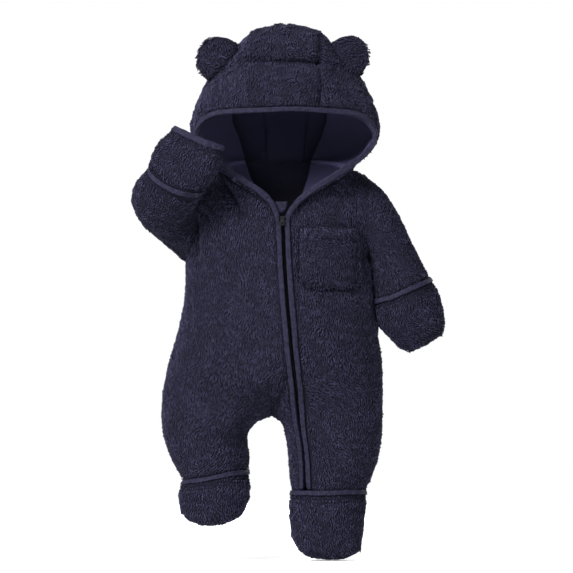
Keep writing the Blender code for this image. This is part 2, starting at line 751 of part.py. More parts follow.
def drawn_back(sheet, faces, edges):
    """For each point on a piece's border, the small move back from its edges."""
    uses = {}
    for ids, normal in faces:
        for a, b in zip(ids, ids[1:] + ids[:1]):
            uses.setdefault(frozenset((a, b)), []).append((a, b, normal))
    border = [found[0] for found in uses.values() if len(found) == 1]
    pulls = {}
    for a, b, normal in border:
        inward = unit(np.cross(normal, sheet.points[b] - sheet.points[a]))
        gap = edge_gap(edges, a, b)
        for index in (a, b):
            pulls.setdefault(index, []).append((inward, gap))
    moves = {}
    for index, found in pulls.items():
        directions = np.array([inward for inward, _ in found])
        gaps = np.array([gap for _, gap in found])
        move = np.linalg.lstsq(directions, gaps, rcond=0.05)[0]
        reach = np.linalg.norm(move)
        limit = MITRE_LIMIT * gaps.max()
        moves[index] = move * min(1, limit / reach)
    return border, moves


def wall(sheet, name, edges):
    """One cut piece as a closed solid: outer face, inner face and edges."""
    faces = [
        (ids, normal)
        for (piece, ids), normal in zip(sheet.faces, sheet.face_normals)
        if piece == name
    ]
    border, moves = drawn_back(sheet, faces, edges)
    used = sorted({i for ids, _ in faces for i in ids})
    place = {index: n for n, index in enumerate(used)}
    outer = [sheet.points[i] + moves.get(i, 0) for i in used]
    inset = {i: CLOTH * sheet.normals[i] for i in used}
    for index in moves:
        own = None if index in edges["zip"] else sheet.hollow(index, name)
        if own is not None:
            inset[index] = SEAM_PRESS * CLOTH * own
    inner = [point - inset[i] for point, i in zip(outer, used)]
    sheet.cloth[name] = {i: np.array(pair) for i, *pair in zip(used, outer, inner)}
    count = len(used)
    solid = []
    for ids, _ in faces:
        solid.append([place[i] for i in ids])
        solid.append([place[i] + count for i in reversed(ids)])
    for a, b, _ in border:
        solid.append([place[b], place[a], place[a] + count, place[b] + count])
    return solid_object(name, outer + inner, solid, "plush")


def solid_object(name, points, faces, finish):
    """A named object in metres, its faces turned outwards."""
    mesh = bpy.data.meshes.new(name)
    mesh.from_pydata([tuple(float(c) * MM for c in p) for p in points], [], faces)
    work = bmesh.new()
    work.from_mesh(mesh)
    bmesh.ops.recalc_face_normals(work, faces=work.faces[:])
    bmesh.ops.triangulate(work, faces=work.faces[:])
    work.to_mesh(mesh)
    work.free()
    mesh.shade_smooth()
    mesh.set_sharp_from_angle(angle=pi / 4)
    mesh.materials.append(material(name, finish))
    piece = bpy.data.objects.new(name, mesh)
    COLLECTION.objects.link(piece)
    return piece


def material(name, finish):
    made = bpy.data.materials.new(name)
    made.use_nodes = True
    shader = made.node_tree.nodes["Principled BSDF"]
    shader.inputs["Base Color"].default_value = (*COLOURS[finish], 1)
    shader.inputs["Roughness"].default_value = 0.35 if finish == "metal" else 0.9
    shader.inputs["Metallic"].default_value = 1.0 if finish == "metal" else 0.0
    return made


def loft(name, sections, finish, closed=False, tips=()):
    """A solid through like sections, its ends flat or drawn to a tip."""
    points = [point for section in sections for point in section]
    size, count = len(sections[0]), len(sections)
    faces = []
    for s in range(count if closed else count - 1):
        for i in range(size):
            j = (i + 1) % size
            t = (s + 1) % count
            faces.append([s * size + i, s * size + j, t * size + j, t * size + i])
    if not closed:
        faces.append(list(range(size)))
        if len(tips):
            points.append(tips[0])
            base = (count - 1) * size
            for i in range(size):
                faces.append([base + i, base + (i + 1) % size, len(points) - 1])
        else:
            faces.append([(count - 1) * size + i for i in range(size)])
    return solid_object(name, points, faces, finish)


def edge_sections(sheet, pieces, line, beyond, profile, closed=False):
    """A profile swept along an edge of the cloth. Each of its points is given by
    its distance from the edge, the face of the cloth and its height off it."""
    count = len(line)

    def cloth(index):
        found = [sheet.cloth[piece][index] for piece in pieces if index in sheet.cloth[piece]]
        return np.mean(found, axis=0)

    sections = []
    for i in range(count):
        before = sheet.points[line[(i - 1) % count if closed else max(i - 1, 0)]]
        after = sheet.points[line[(i + 1) % count if closed else min(i + 1, count - 1)]]
        run = unit(after - before)
        start = sheet.points[line[i]]
        across = sheet.points[beyond[i]] - start
        across = across - np.dot(across, run) * run
        reach = np.linalg.norm(across)
        here, there = cloth(line[i]), cloth(beyond[i])
        drawn = np.dot(here[0] - start, across) / reach
        section = []
        for distance, face, height in profile:
            share = float(np.clip((distance - drawn) / (reach - drawn), 0, 0.97))
            short = min(distance - drawn, 0) / reach
            outer, inner = (1 - share) * here + share * there + short * across
            out = unit(outer - inner)
            section.append(outer + height * out if face == "outer" else inner - height * out)
        sections.append(np.array(section))
    return sections


def folded_profile(start):
    """A binding folded over a cloth's edge, its fold at the distance given."""
    near, far = start + BIND_CLOTH, start + BIND_WIDTH
    low, high = BIND_REST, BIND_REST + BIND_CLOTH
    return [
        (far, "outer", low), (far, "outer", high), (start, "outer", high),
        (start, "inner", high), (far, "inner", high), (far, "inner", low),
        (near, "inner", low), (near, "outer", low),
    ]


def bindings(sheet, edges):
    opening = folded_profile(0)
    hood = ("hood_side_left", "hood_centre", "hood_side_right")
    line, beyond = edges["face"][1:-1], edges["face_next"][1:-1]
    face = edge_sections(sheet, hood, line, beyond, opening)
    loft("binding_hood", clip(face, CORNER_CLEAR, CORNER_CLEAR), "jersey")
    flap = edge_sections(
        sheet, ("mitten_right",), edges["flap"], edges["flap_next"], opening, closed=True,
    )
    loft("binding_mitten_right_end", flap, "jersey", closed=True)
    for side in ("left", "right"):
        beside = edges["zip_" + side]
        cloth = ("front_left",) if side == "left" else ("front_right",)
        front = edge_sections(sheet, cloth, edges["zip"], beside, folded_profile(ZIP_CHANNEL / 2))
        loft("binding_front_" + side, clip(front, FRONT_CLEAR, FRONT_END), "jersey")
        tape = edge_sections(sheet, cloth, edges["zip"], beside, tape_profile())
        loft("zip_tape_" + side, clip(tape, TAPE_CLEAR, FRONT_END), "tape")
    low, high = BIND_REST, BIND_REST + BAND_HEIGHT
    corners = [(SEAM_GAP, low), (SEAM_GAP, high), (BIND_WIDTH, high), (BIND_WIDTH, low)]
    band = [(distance, "outer", height) for distance, height in corners]
    for piece, (line, beyond) in edges["cuffs"].items():
        cuff = edge_sections(sheet, (piece,), line, beyond, band, closed=True)
        loft("binding_" + piece, cuff, "jersey", closed=True)


def tape_profile():
    near = BIND_REST + BIND_CLOTH + TAPE_REST
    far = near + TAPE_CLOTH
    corners = [(TAPE_GAP / 2, near), (TAPE_WIDTH, near), (TAPE_WIDTH, far), (TAPE_GAP / 2, far)]
    return [(distance, "inner", height) for distance, height in corners]


def clip(sections, start, end):
    """Shortens a run of sections at both ends by the lengths given."""
    middles = np.array([section.mean(axis=0) for section in sections])
    chords = np.linalg.norm(np.diff(middles, axis=0), axis=1)
    reached = np.concatenate([[0], np.cumsum(chords)])

    def at(length):
        i = int(np.clip(np.searchsorted(reached, length) - 1, 0, len(chords) - 1))
        share = (length - reached[i]) / chords[i]
        return (1 - share) * sections[i] + share * sections[i + 1]

    last = reached[-1] - end
    kept = [s for s, r in zip(sections, reached) if start + 1 < r < last - 1]
    return [at(start)] + kept + [at(last)]


# ------------------------------------------------------------- pieces laid on top
def on_surface(tree, start, direction):
    """Where a line of sight meets the sheet, and the sheet's direction there."""
    hit, normal, _, _ = tree.ray_cast(Vector(start), Vector(direction))
    if hit is None:
        raise ValueError("nothing under the point %s" % (tuple(start),))
    normal = np.array(normal)
    if np.dot(normal, direction) > 0:
        normal = -normal
    return np.array(hit), normal


def pocket(sheet):
    """A plush patch pocket, sewn at its sides and bottom and open at its top."""
    tree = sheet.tree(("front_left",))
    width = POCKET["right"] - POCKET["left"]
    height = POCKET["top"] - POCKET["bottom"]
    outer, inner = [], []
    for row in range(POCKET_STEPS + 1):
        down = row / POCKET_STEPS
        z = POCKET["top"] - down * height
        from_bottom = min(POCKET["corner"], z - POCKET["bottom"])
        radius = POCKET["corner"]
        inset = radius - (radius**2 - (radius - from_bottom) ** 2) ** 0.5
        inset = min(inset, 0.8 * radius)
        for column in range(POCKET_STEPS + 1):
            share = column / POCKET_STEPS
            x = POCKET["left"] + inset + share * (width - 2 * inset)
            place, normal = on_surface(tree, (x, -300, z), (0, 1, 0))
            bulge = POCKET_PUFF * max(sin(pi * share), 0) ** 0.6 * max(cos(pi * down / 2), 0) ** 0.6
            hem = 1.3 * np.exp(-(((down * height - POCKET["hem"]) / 4) ** 2))
            under = POCKET_REST + bulge
            inner.append(place + under * normal)
            outer.append(place + (under + CLOTH - hem) * normal)
    count, size = len(outer), POCKET_STEPS + 1
    faces, rim = [], []
    for row in range(POCKET_STEPS):
        for column in range(POCKET_STEPS):
            a = row * size + column
            quad = [a, a + 1, a + size + 1, a + size]
            faces.append(quad)
            faces.append([i + count for i in reversed(quad)])
    rim += [(c, c + 1) for c in range(POCKET_STEPS)]
    rim += [((r + 1) * size - 1, (r + 2) * size - 1) for r in range(POCKET_STEPS)]
    rim += [(count - 1 - c, count - 2 - c) for c in range(POCKET_STEPS)]
    rim += [((POCKET_STEPS - r) * size, (POCKET_STEPS - 1 - r) * size) for r in range(POCKET_STEPS)]
    faces += [[b, a, a + count, b + count] for a, b in rim]
    solid_object("pocket", outer + inner, faces, "plush")


def ears(sheet):
    """Two round padded ears, each seated on the hood along its flat base."""
    tree = sheet.tree(("hood_side_left", "hood_side_right", "hood_centre"))
    steps = 16
    for side, x, y, z, lean, radius, thickness in EARS:
        up = np.array([sin(lean * pi / 180), 0, cos(lean * pi / 180)])
        wide = np.array([up[2], 0, -up[0]])
        deep = np.array([0, -1, 0])
        centre = np.array([x, y, z], float)
        seat, _ = on_surface(tree, centre + 80 * up, -up)
        centre_height = float(np.dot(centre - seat, up))
        top = centre_height + radius
        sections = []
        for share in EAR_LEVELS:
            height = share * top
            from_centre = (height - centre_height) / radius
            half_width = radius * (1 - from_centre**2) ** 0.5
            half_depth = thickness / 2 * (1 - 0.45 * from_centre**2)
            settled = min(1, height / EAR_BLEND)
            ring = []
            for step in range(steps):
                angle = tau * step / steps
                flat = half_width * cos(angle) * wide + half_depth * sin(angle) * deep
                ideal = seat + height * up + flat
                if settled < 1:
                    base, _ = on_surface(tree, seat + 60 * up + flat, -up)
                    resting = base + (height + EAR_SEAT) * up
                    ideal = settled * ideal + (1 - settled) * resting
                ring.append(ideal)
            sections.append(np.array(ring))
        loft("ear_" + side, sections, "plush", tips=[seat + top * up])


def chin_guard():
    """The small jersey tab that covers the top of the zip."""
    rear = [np.array([x, GUARD_REAR, z]) for x, z in GUARD]
    front = [corner - np.array([0, GUARD_CLOTH, 0]) for corner in rear]
    loft("chin_guard", [front, rear], "jersey")


# ----------------------------------------------------------------- slider and pull
def box(name, size, place):
    """A box by its size and middle, in millimetres."""
    bpy.ops.mesh.primitive_cube_add(size=1)
    piece = bpy.context.active_object
    piece.name = piece.data.name = name
    scale = Matrix.Diagonal((*[s * MM for s in size], 1))
    piece.data.transform(Matrix.Translation([c * MM for c in place]) @ scale)
    return piece


def rod(name, radius, length, place, axis):
    """A cylinder lying along X or Y."""
    bpy.ops.mesh.primitive_cylinder_add(vertices=16, radius=radius * MM, depth=length * MM)
    piece = bpy.context.active_object
    piece.name = piece.data.name = name
    turn = Matrix.Rotation(pi / 2, 4, "Y" if axis == "X" else "X")
    piece.data.transform(Matrix.Translation([c * MM for c in place]) @ turn)
    return piece


def combine(base, tools, operation):
    """Joins solids to a base, or cuts them from it, and removes them."""
    for tool in tools:
        step = base.modifiers.new("combine", "BOOLEAN")
        step.operation = operation
        step.object = tool
    bpy.context.view_layer.update()
    graph = bpy.context.evaluated_depsgraph_get()
    result = bpy.data.meshes.new_from_object(base.evaluated_get(graph))
    base.modifiers.clear()
    base.data = result
    for tool in tools:
        bpy.data.objects.remove(tool, do_unlink=True)
    return base


def finish_hardware(piece, name):
    piece.name = piece.data.name = name
    piece.data.materials.clear()
    piece.data.materials.append(material(name, "metal"))
    for other in piece.users_collection:
        other.objects.unlink(piece)
    COLLECTION.objects.link(piece)


def slider(place):
    """Two blades on a post, with two lugs that carry the pull's pin."""
    x, y, z = place
    width, height, blade = SLIDER["width"], SLIDER["height"], SLIDER["blade"]
    rear = y + SLIDER["throat"] + blade
    body = box("zip_slider", (width, blade, height), (x, y + blade / 2, z))
    parts = [
        box("rear_blade", (SLIDER["rear_width"], blade, height), (x, rear + blade / 2, z)),
        box("post", (SLIDER["post"], rear - y, SLIDER["post_height"]),
            (x, (rear + y + blade) / 2, z + (height - SLIDER["post_height"]) / 2)),
    ]
    reach, lug = SLIDER["lug_reach"], SLIDER["lug"]
    for sign in (-1, 1):
        parts.append(box(
            "lug", (lug, reach + blade, SLIDER["lug_height"]),
            (x + sign * (width - lug) / 2, y - reach / 2 + blade / 2, pivot_height(z)),
        ))
    pin = rod("pin", SLIDER["pin"] / 2, width - lug / 2, (x, pivot_front(y), pivot_height(z)), "X")
    combine(body, parts + [pin], "UNION")
    finish_hardware(body, "zip_slider")


def pivot_front(y):
    return y - SLIDER["lug_reach"] + SLIDER["lug_height"] / 2


def pivot_height(z):
    return z + SLIDER["height"] / 2 - SLIDER["lug_height"] / 2


def zip_pull(place):
    """The pull: an eye round the pin, a neck, and a plate with a hole."""
    x, y, z = place
    pivot = (x, pivot_front(y), pivot_height(z))
    barrel = SLIDER["pin"] / 2 + PIVOT_GAP + PULL["eye_wall"]
    neck = SLIDER["width"] - 2 * SLIDER["lug"] - 2 * PIVOT_GAP
    eye = rod("zip_pull", barrel, neck, pivot, "X")
    thick, length = PULL["thickness"], PULL["length"]
    plate_top = barrel + PULL["neck"]
    plate = length - plate_top
    parts = [
        box("neck", (neck, thick, plate_top), (x, pivot[1], pivot[2] - barrel / 2 - plate_top / 2)),
        box("plate", (PULL["width"], thick, plate), (x, pivot[1], pivot[2] - plate_top - plate / 2)),
    ]
    combine(eye, parts, "UNION")
    holes = [
        rod("eye_hole", SLIDER["pin"] / 2 + PIVOT_GAP, neck + 2, pivot, "X"),
        rod("plate_hole", PULL["hole"], thick * 3,
            (x, pivot[1], pivot[2] - length + PULL["hole"] + 1.3), "Y"),
    ]
    combine(eye, holes, "DIFFERENCE")
    finish_hardware(eye, "zip_pull")
    origin = Vector([c * MM for c in pivot])
    eye.data.transform(Matrix.Translation(-origin))
    eye.location = origin


# ---------------------------------------------------------------------- the model
def clear_scene():
    for found in list(bpy.data.objects):
        bpy.data.objects.remove(found, do_unlink=True)


clear_scene()
COLLECTION = bpy.data.collections.new("hooded_fleece_onesie")
bpy.context.scene.collection.children.link(COLLECTION)


def build():
    sheet, edges = lay_out()
    for name in sorted({piece for piece, _ in sheet.faces}):
        wall(sheet, name, edges)
    bindings(sheet, edges)
    pocket(sheet)
    ears(sheet)
    chin_guard()
    top = sheet.points[edges["zip"][0]]
    place = (top[0], top[1] - SLIDER["forward"], top[2] + SLIDER["rise"])
    slider(place)
    zip_pull(place)


build()
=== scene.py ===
"""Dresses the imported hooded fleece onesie: plush panels, jersey bindings, zip and stage.

Lengths are in metres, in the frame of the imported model: +X is the viewer's right, the
front faces -Y and +Z is up. Left and right in names are the wearer's.
"""

import math

import bmesh
import bpy
import numpy as np
from bpy.props import FloatProperty, FloatVectorProperty, IntProperty, PointerProperty
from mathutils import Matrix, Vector
from mathutils.bvhtree import BVHTree
from mathutils.kdtree import KDTree


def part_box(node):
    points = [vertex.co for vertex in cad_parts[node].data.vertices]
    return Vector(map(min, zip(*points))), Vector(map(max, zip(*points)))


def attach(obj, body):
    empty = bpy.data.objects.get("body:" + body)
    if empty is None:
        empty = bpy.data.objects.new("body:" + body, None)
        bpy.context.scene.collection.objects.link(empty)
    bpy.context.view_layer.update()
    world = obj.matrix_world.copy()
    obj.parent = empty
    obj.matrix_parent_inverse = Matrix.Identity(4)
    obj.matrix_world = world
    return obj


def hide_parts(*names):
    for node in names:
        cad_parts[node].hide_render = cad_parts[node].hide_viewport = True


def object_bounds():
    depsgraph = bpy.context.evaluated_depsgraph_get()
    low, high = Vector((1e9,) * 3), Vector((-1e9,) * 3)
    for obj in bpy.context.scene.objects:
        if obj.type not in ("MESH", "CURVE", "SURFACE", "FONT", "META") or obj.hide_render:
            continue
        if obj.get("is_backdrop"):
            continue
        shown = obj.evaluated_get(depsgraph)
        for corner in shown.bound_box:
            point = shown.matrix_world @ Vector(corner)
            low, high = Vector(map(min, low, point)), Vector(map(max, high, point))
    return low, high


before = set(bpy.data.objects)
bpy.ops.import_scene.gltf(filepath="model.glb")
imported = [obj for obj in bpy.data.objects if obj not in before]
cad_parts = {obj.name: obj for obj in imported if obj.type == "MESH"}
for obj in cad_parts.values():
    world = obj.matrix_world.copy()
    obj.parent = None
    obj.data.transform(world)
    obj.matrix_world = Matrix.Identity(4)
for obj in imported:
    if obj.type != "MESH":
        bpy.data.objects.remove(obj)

bl_info = {
    "name": "Hooded fleece onesie",
    "version": (1, 0, 0),
    "blender": (4, 5, 0),
    "location": "3D View > Sidebar > Onesie",
    "description": "Builds the plush, bindings, zip and stage of a hooded fleece onesie",
    "category": "Add Mesh",
}

MM = 0.001

# The cut pieces of plush, with the width and length of each one's cut in metres, the
# share of that rectangle that the piece fills, how it hangs, and its bindings.
PANELS = {
    "back": (0.380, 0.480, 0.62, "hung", ()),
    "front_left": (0.165, 0.470, 0.59, "hung", ("binding_front_left", "zip_tape_left")),
    "front_right": (0.215, 0.450, 0.62, "hung",
                    ("binding_front_right", "zip_tape_right", "chin_guard")),
    "sleeve_left": (0.190, 0.130, 0.81, "hung", ("binding_mitten_left",)),
    "sleeve_right": (0.190, 0.155, 0.82, "folded", ("binding_mitten_right",)),
    "mitten_left": (0.175, 0.095, 0.84, "folded", ()),
    "mitten_right": (0.155, 0.083, 0.85, "folded", ("binding_mitten_right_end",)),
    "foot_left": (0.225, 0.110, 0.84, "folded", ("binding_foot_left",)),
    "foot_right": (0.215, 0.085, 0.84, "folded", ("binding_foot_right",)),
    "hood_side_left": (0.230, 0.250, 0.62, "gathered", ()),
    "hood_side_right": (0.230, 0.250, 0.62, "gathered", ()),
    "hood_centre": (0.080, 0.390, 0.86, "gathered", ("binding_hood",)),
    "pocket": (0.072, 0.078, 0.95, "laid", ()),
}
EARS = ("ear_left", "ear_right")
BINDINGS = (
    "binding_hood",
    "binding_front_left",
    "binding_front_right",
    "binding_mitten_left",
    "binding_mitten_right",
    "binding_mitten_right_end",
    "binding_foot_left",
    "binding_foot_right",
    "chin_guard",
)
TAPES = ("zip_tape_left", "zip_tape_right")
OUT_SIDE, IN_SIDE, RIM = 0, 1, 2  # material slots of a panel
SIDE_ANGLE = math.radians(42)  # a panel's faces that meet at less are on one side
RIM_WIDTH = 3.7 * MM  # a group of faces that is narrower is a rim
OPEN_SHARE = 0.42  # a side from which more rays than this leave is the outer one

# How each piece's pile differs: how far apart its locks are, their length, how much
# they turn and clump, and how light they are, each as a share of the usual. The real
# fleece is one colour: the tones stand in for light and nap that the lamps don't give.
PILE = {  # spacing, length, curl, clump, tone
    "back": (1.1, 1.0, 1.0, 1.0, 1.0),
    "front_left": (1.0, 1.0, 1.0, 1.0, 1.0),
    "front_right": (1.0, 1.0, 1.0, 1.0, 1.0),
    "hood_side_left": (1.0, 1.0, 1.3, 1.8, 0.95),
    "hood_side_right": (1.0, 1.0, 1.3, 1.8, 1.2),
    "hood_centre": (1.0, 1.0, 1.3, 1.8, 0.9),
    "ear_left": (1.0, 1.05, 2.4, 1.6, 0.75),
    "ear_right": (1.0, 1.05, 2.4, 1.6, 0.75),
    "pocket": (1.0, 0.9, 1.7, 1.8, 0.95),
    "sleeve_left": (1.0, 1.0, 1.2, 1.3, 0.9),
    "sleeve_right": (1.0, 1.0, 1.3, 1.5, 0.8),
    "mitten_left": (1.0, 1.0, 1.3, 1.5, 0.9),
    "mitten_right": (1.0, 1.0, 1.3, 1.3, 0.88),
    "foot_left": (1.0, 1.0, 1.2, 1.3, 1.05),
    "foot_right": (1.0, 1.0, 1.2, 1.3, 1.0),
}
STITCHED = ("foot_left", "foot_right", "mitten_left", "mitten_right", "sleeve_right")
FREE_EDGED = ("pocket_cloth", "ear_left_cloth", "ear_right_cloth")
POCKET_HEM = -66 * MM
STITCH_ROWS = (3.4 * MM, 6.6 * MM)  # from the edge of the binding
# Painted shade: the locks beside a binding or the zip are painted darker, as the shade that falls
# there.
BESIDE_TRIM = 3.4 * MM  # locks nearer to a binding or the zip are short and dark
TRIM_CLEAR = 0.9 * MM  # and none is rooted nearer than this
POCKET_CLEAR = 2.4 * MM  # or than this, on the front that carries the pocket
TREE_REACH = 9 * MM  # how far a lock looks for a binding
BESIDE_ZIP = ("back", "front_right", "sleeve_left")

# The lining is coloured darker between these two edges of the hood's facings, in the
# place of the shade there: heights, and the x of the edge on each side.
FACING_LEVELS = (-0.021, -0.008, 0.010, 0.034, 0.059, 0.080)
FACING_RIGHT = (-0.018, -0.031, -0.043, -0.050, -0.057, -0.065)
FACING_LEFT = (0.012, 0.021, 0.027, 0.033, 0.044, 0.051)

# The turns of binding between the hood's and the fronts', in mm.
TURNS = {
    "right": ((-21.0, -64.2, -17.3), (-15.2, -63.4, -23.2), (-11.7, -62.0, -30.0),
              (-9.6, -60.4, -36.5), (-8.3, -59.2, -46.0)),
    "left": ((18.0, -63.7, -20.2), (11.6, -63.2, -24.7), (6.4, -62.0, -31.5),
             (3.6, -60.8, -38.0), (2.4, -59.8, -44.0), (2.7, -60.0, -51.0)),
}

# The middle of the gap between the body and the hanging arm, in mm: levels and x.
ARM_GAP = (
    (-181, -167, -152, -138, -124, -110, -92),
    (117, 112, 109.5, 107, 106.2, 103.8, 100),
)
ARM_GAP_PULL = 1.2  # how strongly its two sides are drawn together
ARM_GAP_WIDTH = 11 * MM
NECK_END = (83, 0, 17)
# The raised mitten's open end: its middle in mm, and the way that it faces.
MITTEN_END = (-104, -100, 51)
MITTEN_OUT = (0.447, 0.0, 0.894)
MITTEN_RAISE = 0.3  # how far its far rim is raised, as a share of its reach

# Soft creases and puffs that the panels' solids leave out, in mm: a line from one
# point to another in the front view, its half width and how far it is pressed in.
CREASES = [  # x0, z0, x1, z1, half_width, depth
    (-44, 146, 43, 144, 4.5, 10.0),
    (-34, 127, 34, 125, 11.0, -5.5),
    (-30, 166, 32, 166, 10.0, -4.0),
    (-42, 150, -41, 98, 3.2, 3.8),
    (41, 178, 41, 98, 3.4, 5.0),
    (-62, 138, -96, 108, 8.0, 1.8),
    (62, 138, 96, 108, 8.0, 1.8),
    (-112, -14, -106, -84, 5.0, 7.0),
    (-76, 6, -50, -38, 5.5, 6.0),
    (-62, 8, -40, -22, 6.0, -2.0),
    (78, 2, 60, -40, 7.0, 1.8),
    (2, -232, -14, -274, 5.0, 4.5),
    (-121, -378, -86, -380, 3.5, 2.6),
    (-100, -120, -40, -150, 14.0, 1.4),
    (-110, -250, -60, -262, 10.0, 1.6),
    (40, -190, 100, -206, 14.0, 1.4),
    (38, -94, 66, -94, 19.0, -2.6),
    (25, -66, 79, -66, 2.0, 1.6),
    (18, -58, 18, -116, 3.0, 2.0),
    (85, -58, 85, -116, 3.0, 2.0),
    (26, -123, 78, -123, 3.0, 2.0),
]

TURN_WIDTH, TURN_THICKNESS = 6.6 * MM, 5.6 * MM
FLOOR_RADIUS = 1.6
AIM = (1.8 * MM, -30 * MM, -121.8 * MM)  # the middle of the picture
LIGHTS = (  # name, place, size, share of the key's power
    ("key", (-1.5, -1.9, 1.5), 1.1, 1.0),
    ("fill", (1.8, -1.6, 0.5), 1.4, 0.06),
    ("rear", (0.6, 2.4, 1.3), 2.0, 0.3),
)


def linear(code):
    """The linear red, green, blue and alpha of an sRGB hex colour."""
    shares = [int(code[at : at + 2], 16) / 255 for at in (1, 3, 5)]
    return (*[s / 12.92 if s <= 0.04045 else ((s + 0.055) / 1.055) ** 2.4 for s in shares], 1.0)


class OnesiePlush(bpy.types.PropertyGroup):
    """Sizes and colours of the plush."""

    length: FloatProperty(
        name="Pile length", description="Length of a lock of pile",
        default=6.0 * MM, min=MM, max=20 * MM, unit="LENGTH")
    width: FloatProperty(
        name="Lock width", description="Width of a lock of pile at its widest",
        default=2.2 * MM, min=0.5 * MM, max=6 * MM, unit="LENGTH")
    spacing: FloatProperty(
        name="Lock spacing", description="Least distance between the roots of two locks",
        default=1.8 * MM, min=1.2 * MM, max=8 * MM, unit="LENGTH")
    lift: FloatProperty(
        name="Lift", description="Angle at which a lock stands off its ground cloth",
        default=math.radians(6), min=0.0, max=math.pi / 2, unit="ROTATION")
    inset: FloatProperty(
        name="Ground inset", description="Depth of the ground cloth under the pile's face",
        default=0.5 * MM, min=0.0, max=3 * MM, unit="LENGTH")
    seed: IntProperty(name="Seed", description="Seed of the pile's scatter", default=7)
    # The root colour is painted shade: the locks are one colour, and their roots are drawn near
    # black because little light gets down to them.
    root: FloatVectorProperty(
        name="Root colour", description="Colour of the pile near its ground cloth",
        default=linear("#020204")[:3], size=3, subtype="COLOR", min=0.0, max=1.0)
    tip: FloatVectorProperty(
        name="Tip colour", description="Colour of the pile's tips",
        default=linear("#272638")[:3], size=3, subtype="COLOR", min=0.0, max=1.0)
    lining: FloatVectorProperty(
        name="Lining colour", description="Colour of the smooth side of the fleece",
        default=linear("#3e3d59")[:3], size=3, subtype="COLOR", min=0.0, max=1.0)


class OnesieTrim(bpy.types.PropertyGroup):
    """Sizes and colours of the bindings and the zip."""

    jersey: FloatVectorProperty(
        name="Jersey colour", description="Colour of the knitted binding",
        default=linear("#181725")[:3], size=3, subtype="COLOR", min=0.0, max=1.0)
    tape: FloatVectorProperty(
        name="Tape colour", description="Colour of the zip's woven tape",
        default=linear("#08080d")[:3], size=3, subtype="COLOR", min=0.0, max=1.0)
    coil: FloatVectorProperty(
        name="Coil colour", description="Colour of the zip's nylon coil",
        default=linear("#0a0a0f")[:3], size=3, subtype="COLOR", min=0.0, max=1.0)
    pitch: FloatProperty(
        name="Coil pitch", description="Distance between two turns of the zip's coil",
        default=1.5 * MM, min=0.8 * MM, max=4 * MM, unit="LENGTH")
    metal: FloatVectorProperty(
        name="Metal colour", description="Colour of the painted slider and pull",
        default=linear("#070709")[:3], size=3, subtype="COLOR", min=0.0, max=1.0)


class OnesieStage(bpy.types.PropertyGroup):
    """The floor, the camera and the lights."""

    floor: FloatVectorProperty(
        name="Floor colour", description="Colour of the plain floor",
        default=linear("#f4f4f4")[:3], size=3, subtype="COLOR", min=0.0, max=1.0)
    distance: FloatProperty(
        name="Camera distance", description="Distance from the camera to the onesie",
        default=6.0, min=1.0, max=20.0, unit="LENGTH")
    view_width: FloatProperty(
        name="View width", description="Width that the picture takes in at the onesie",
        default=0.6876, min=0.2, max=3.0, unit="LENGTH")
    key_power: FloatProperty(
        name="Key power", description="Power of the soft key light in watts",
        default=270.0, min=0.0, max=2000.0)
    sky: FloatProperty(
        name="Sky strength", description="Strength of the even light from all round",
        default=0.75, min=0.0, max=5.0)


# ---------------------------------------------------------------- small maths
def waves(points, size, seed):
    """Smooth noise, three numbers from about -1 to 1 a point; size is a lump's width."""
    draw = np.random.default_rng(seed)
    found = np.zeros((len(points), 3))
    count = 10
    for _ in range(count):
        way = draw.normal(size=3)
        way *= (0.6 + 0.8 * draw.random()) * math.pi / (size * np.linalg.norm(way))
        phase = draw.random(3) * 2 * math.pi
        found += np.sin((points @ way)[:, None] + phase)
    return found * math.sqrt(2 / count) / 1.6


def unit(vectors):
    """The vectors scaled to a length of one."""
    return vectors / np.maximum(np.linalg.norm(vectors, axis=1), 1e-12)[:, None]


def eased(share):
    """A smooth step from 0 to 1."""
    share = np.clip(share, 0, 1)
    return share * share * (3 - 2 * share)


def drawn_in(points):
    """Closes the hanging arm's gap and the neck seam's ends, and levels the mitten's mouth."""
    levels, middles = (np.array(row) * MM for row in ARM_GAP)
    away = points[:, 0] - np.interp(points[:, 2], levels, middles)
    share = eased((-84 * MM - points[:, 2]) / (14 * MM))
    share = share * eased((points[:, 2] + 182 * MM) / (16 * MM))
    moved = points.copy()
    moved[:, 0] -= ARM_GAP_PULL * away * np.exp(-((away / ARM_GAP_WIDTH) ** 2)) * share
    for side in (-1, 1):
        rise = points[:, 2] - NECK_END[2] * MM
        near = (points[:, 0] - side * NECK_END[0] * MM) ** 2 + (points[:, 1] / 2) ** 2
        moved[:, 2] -= rise * np.exp(-((rise / (4 * MM)) ** 2) - near / (14 * MM) ** 2)
    end, out = np.array(MITTEN_END) * MM, np.array(MITTEN_OUT)
    height = (points - end) @ out
    aside = np.linalg.norm(points - end - height[:, None] * out, axis=1)
    share = eased((height + 16 * MM) / (16 * MM)) * eased((60 * MM - aside) / (20 * MM))
    reach = np.clip(end[1] + 9 * MM - points[:, 1], 0, 18 * MM)
    return moved + (MITTEN_RAISE * share * reach)[:, None] * out


def settle(points):
    """Where the cloth's points go when its small folds are pressed in.

    One field moves every layer, so seams, bindings and panels stay together.
    """
    points = drawn_in(points)
    moved = points + 0.9 * MM * waves(points, 45 * MM, 3)
    inward = np.stack([-points[:, 0] * 0.5, 20 * MM - points[:, 1], points[:, 2] * 0], 1)
    inward = unit(inward)
    front = eased((-points[:, 1] + 5 * MM) / (25 * MM))
    for x0, z0, x1, z1, half_width, depth in CREASES:
        start = np.array([x0, z0]) * MM
        along = np.array([x1 - x0, z1 - z0]) * MM
        flat = points[:, [0, 2]] - start
        share = np.clip(flat @ along / (along @ along), 0, 1)
        away = np.linalg.norm(flat - share[:, None] * along, axis=1)
        press = np.exp(-((away / (half_width * MM)) ** 2)) * front * depth * MM
        moved += inward * press[:, None]
    low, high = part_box("zip_slider")
    slider = np.array((low + high) / 2)
    near = np.linalg.norm(points - slider, axis=1)
    free = eased((near - 12 * MM) / (25 * MM))[:, None]
    return points + (moved - points) * free


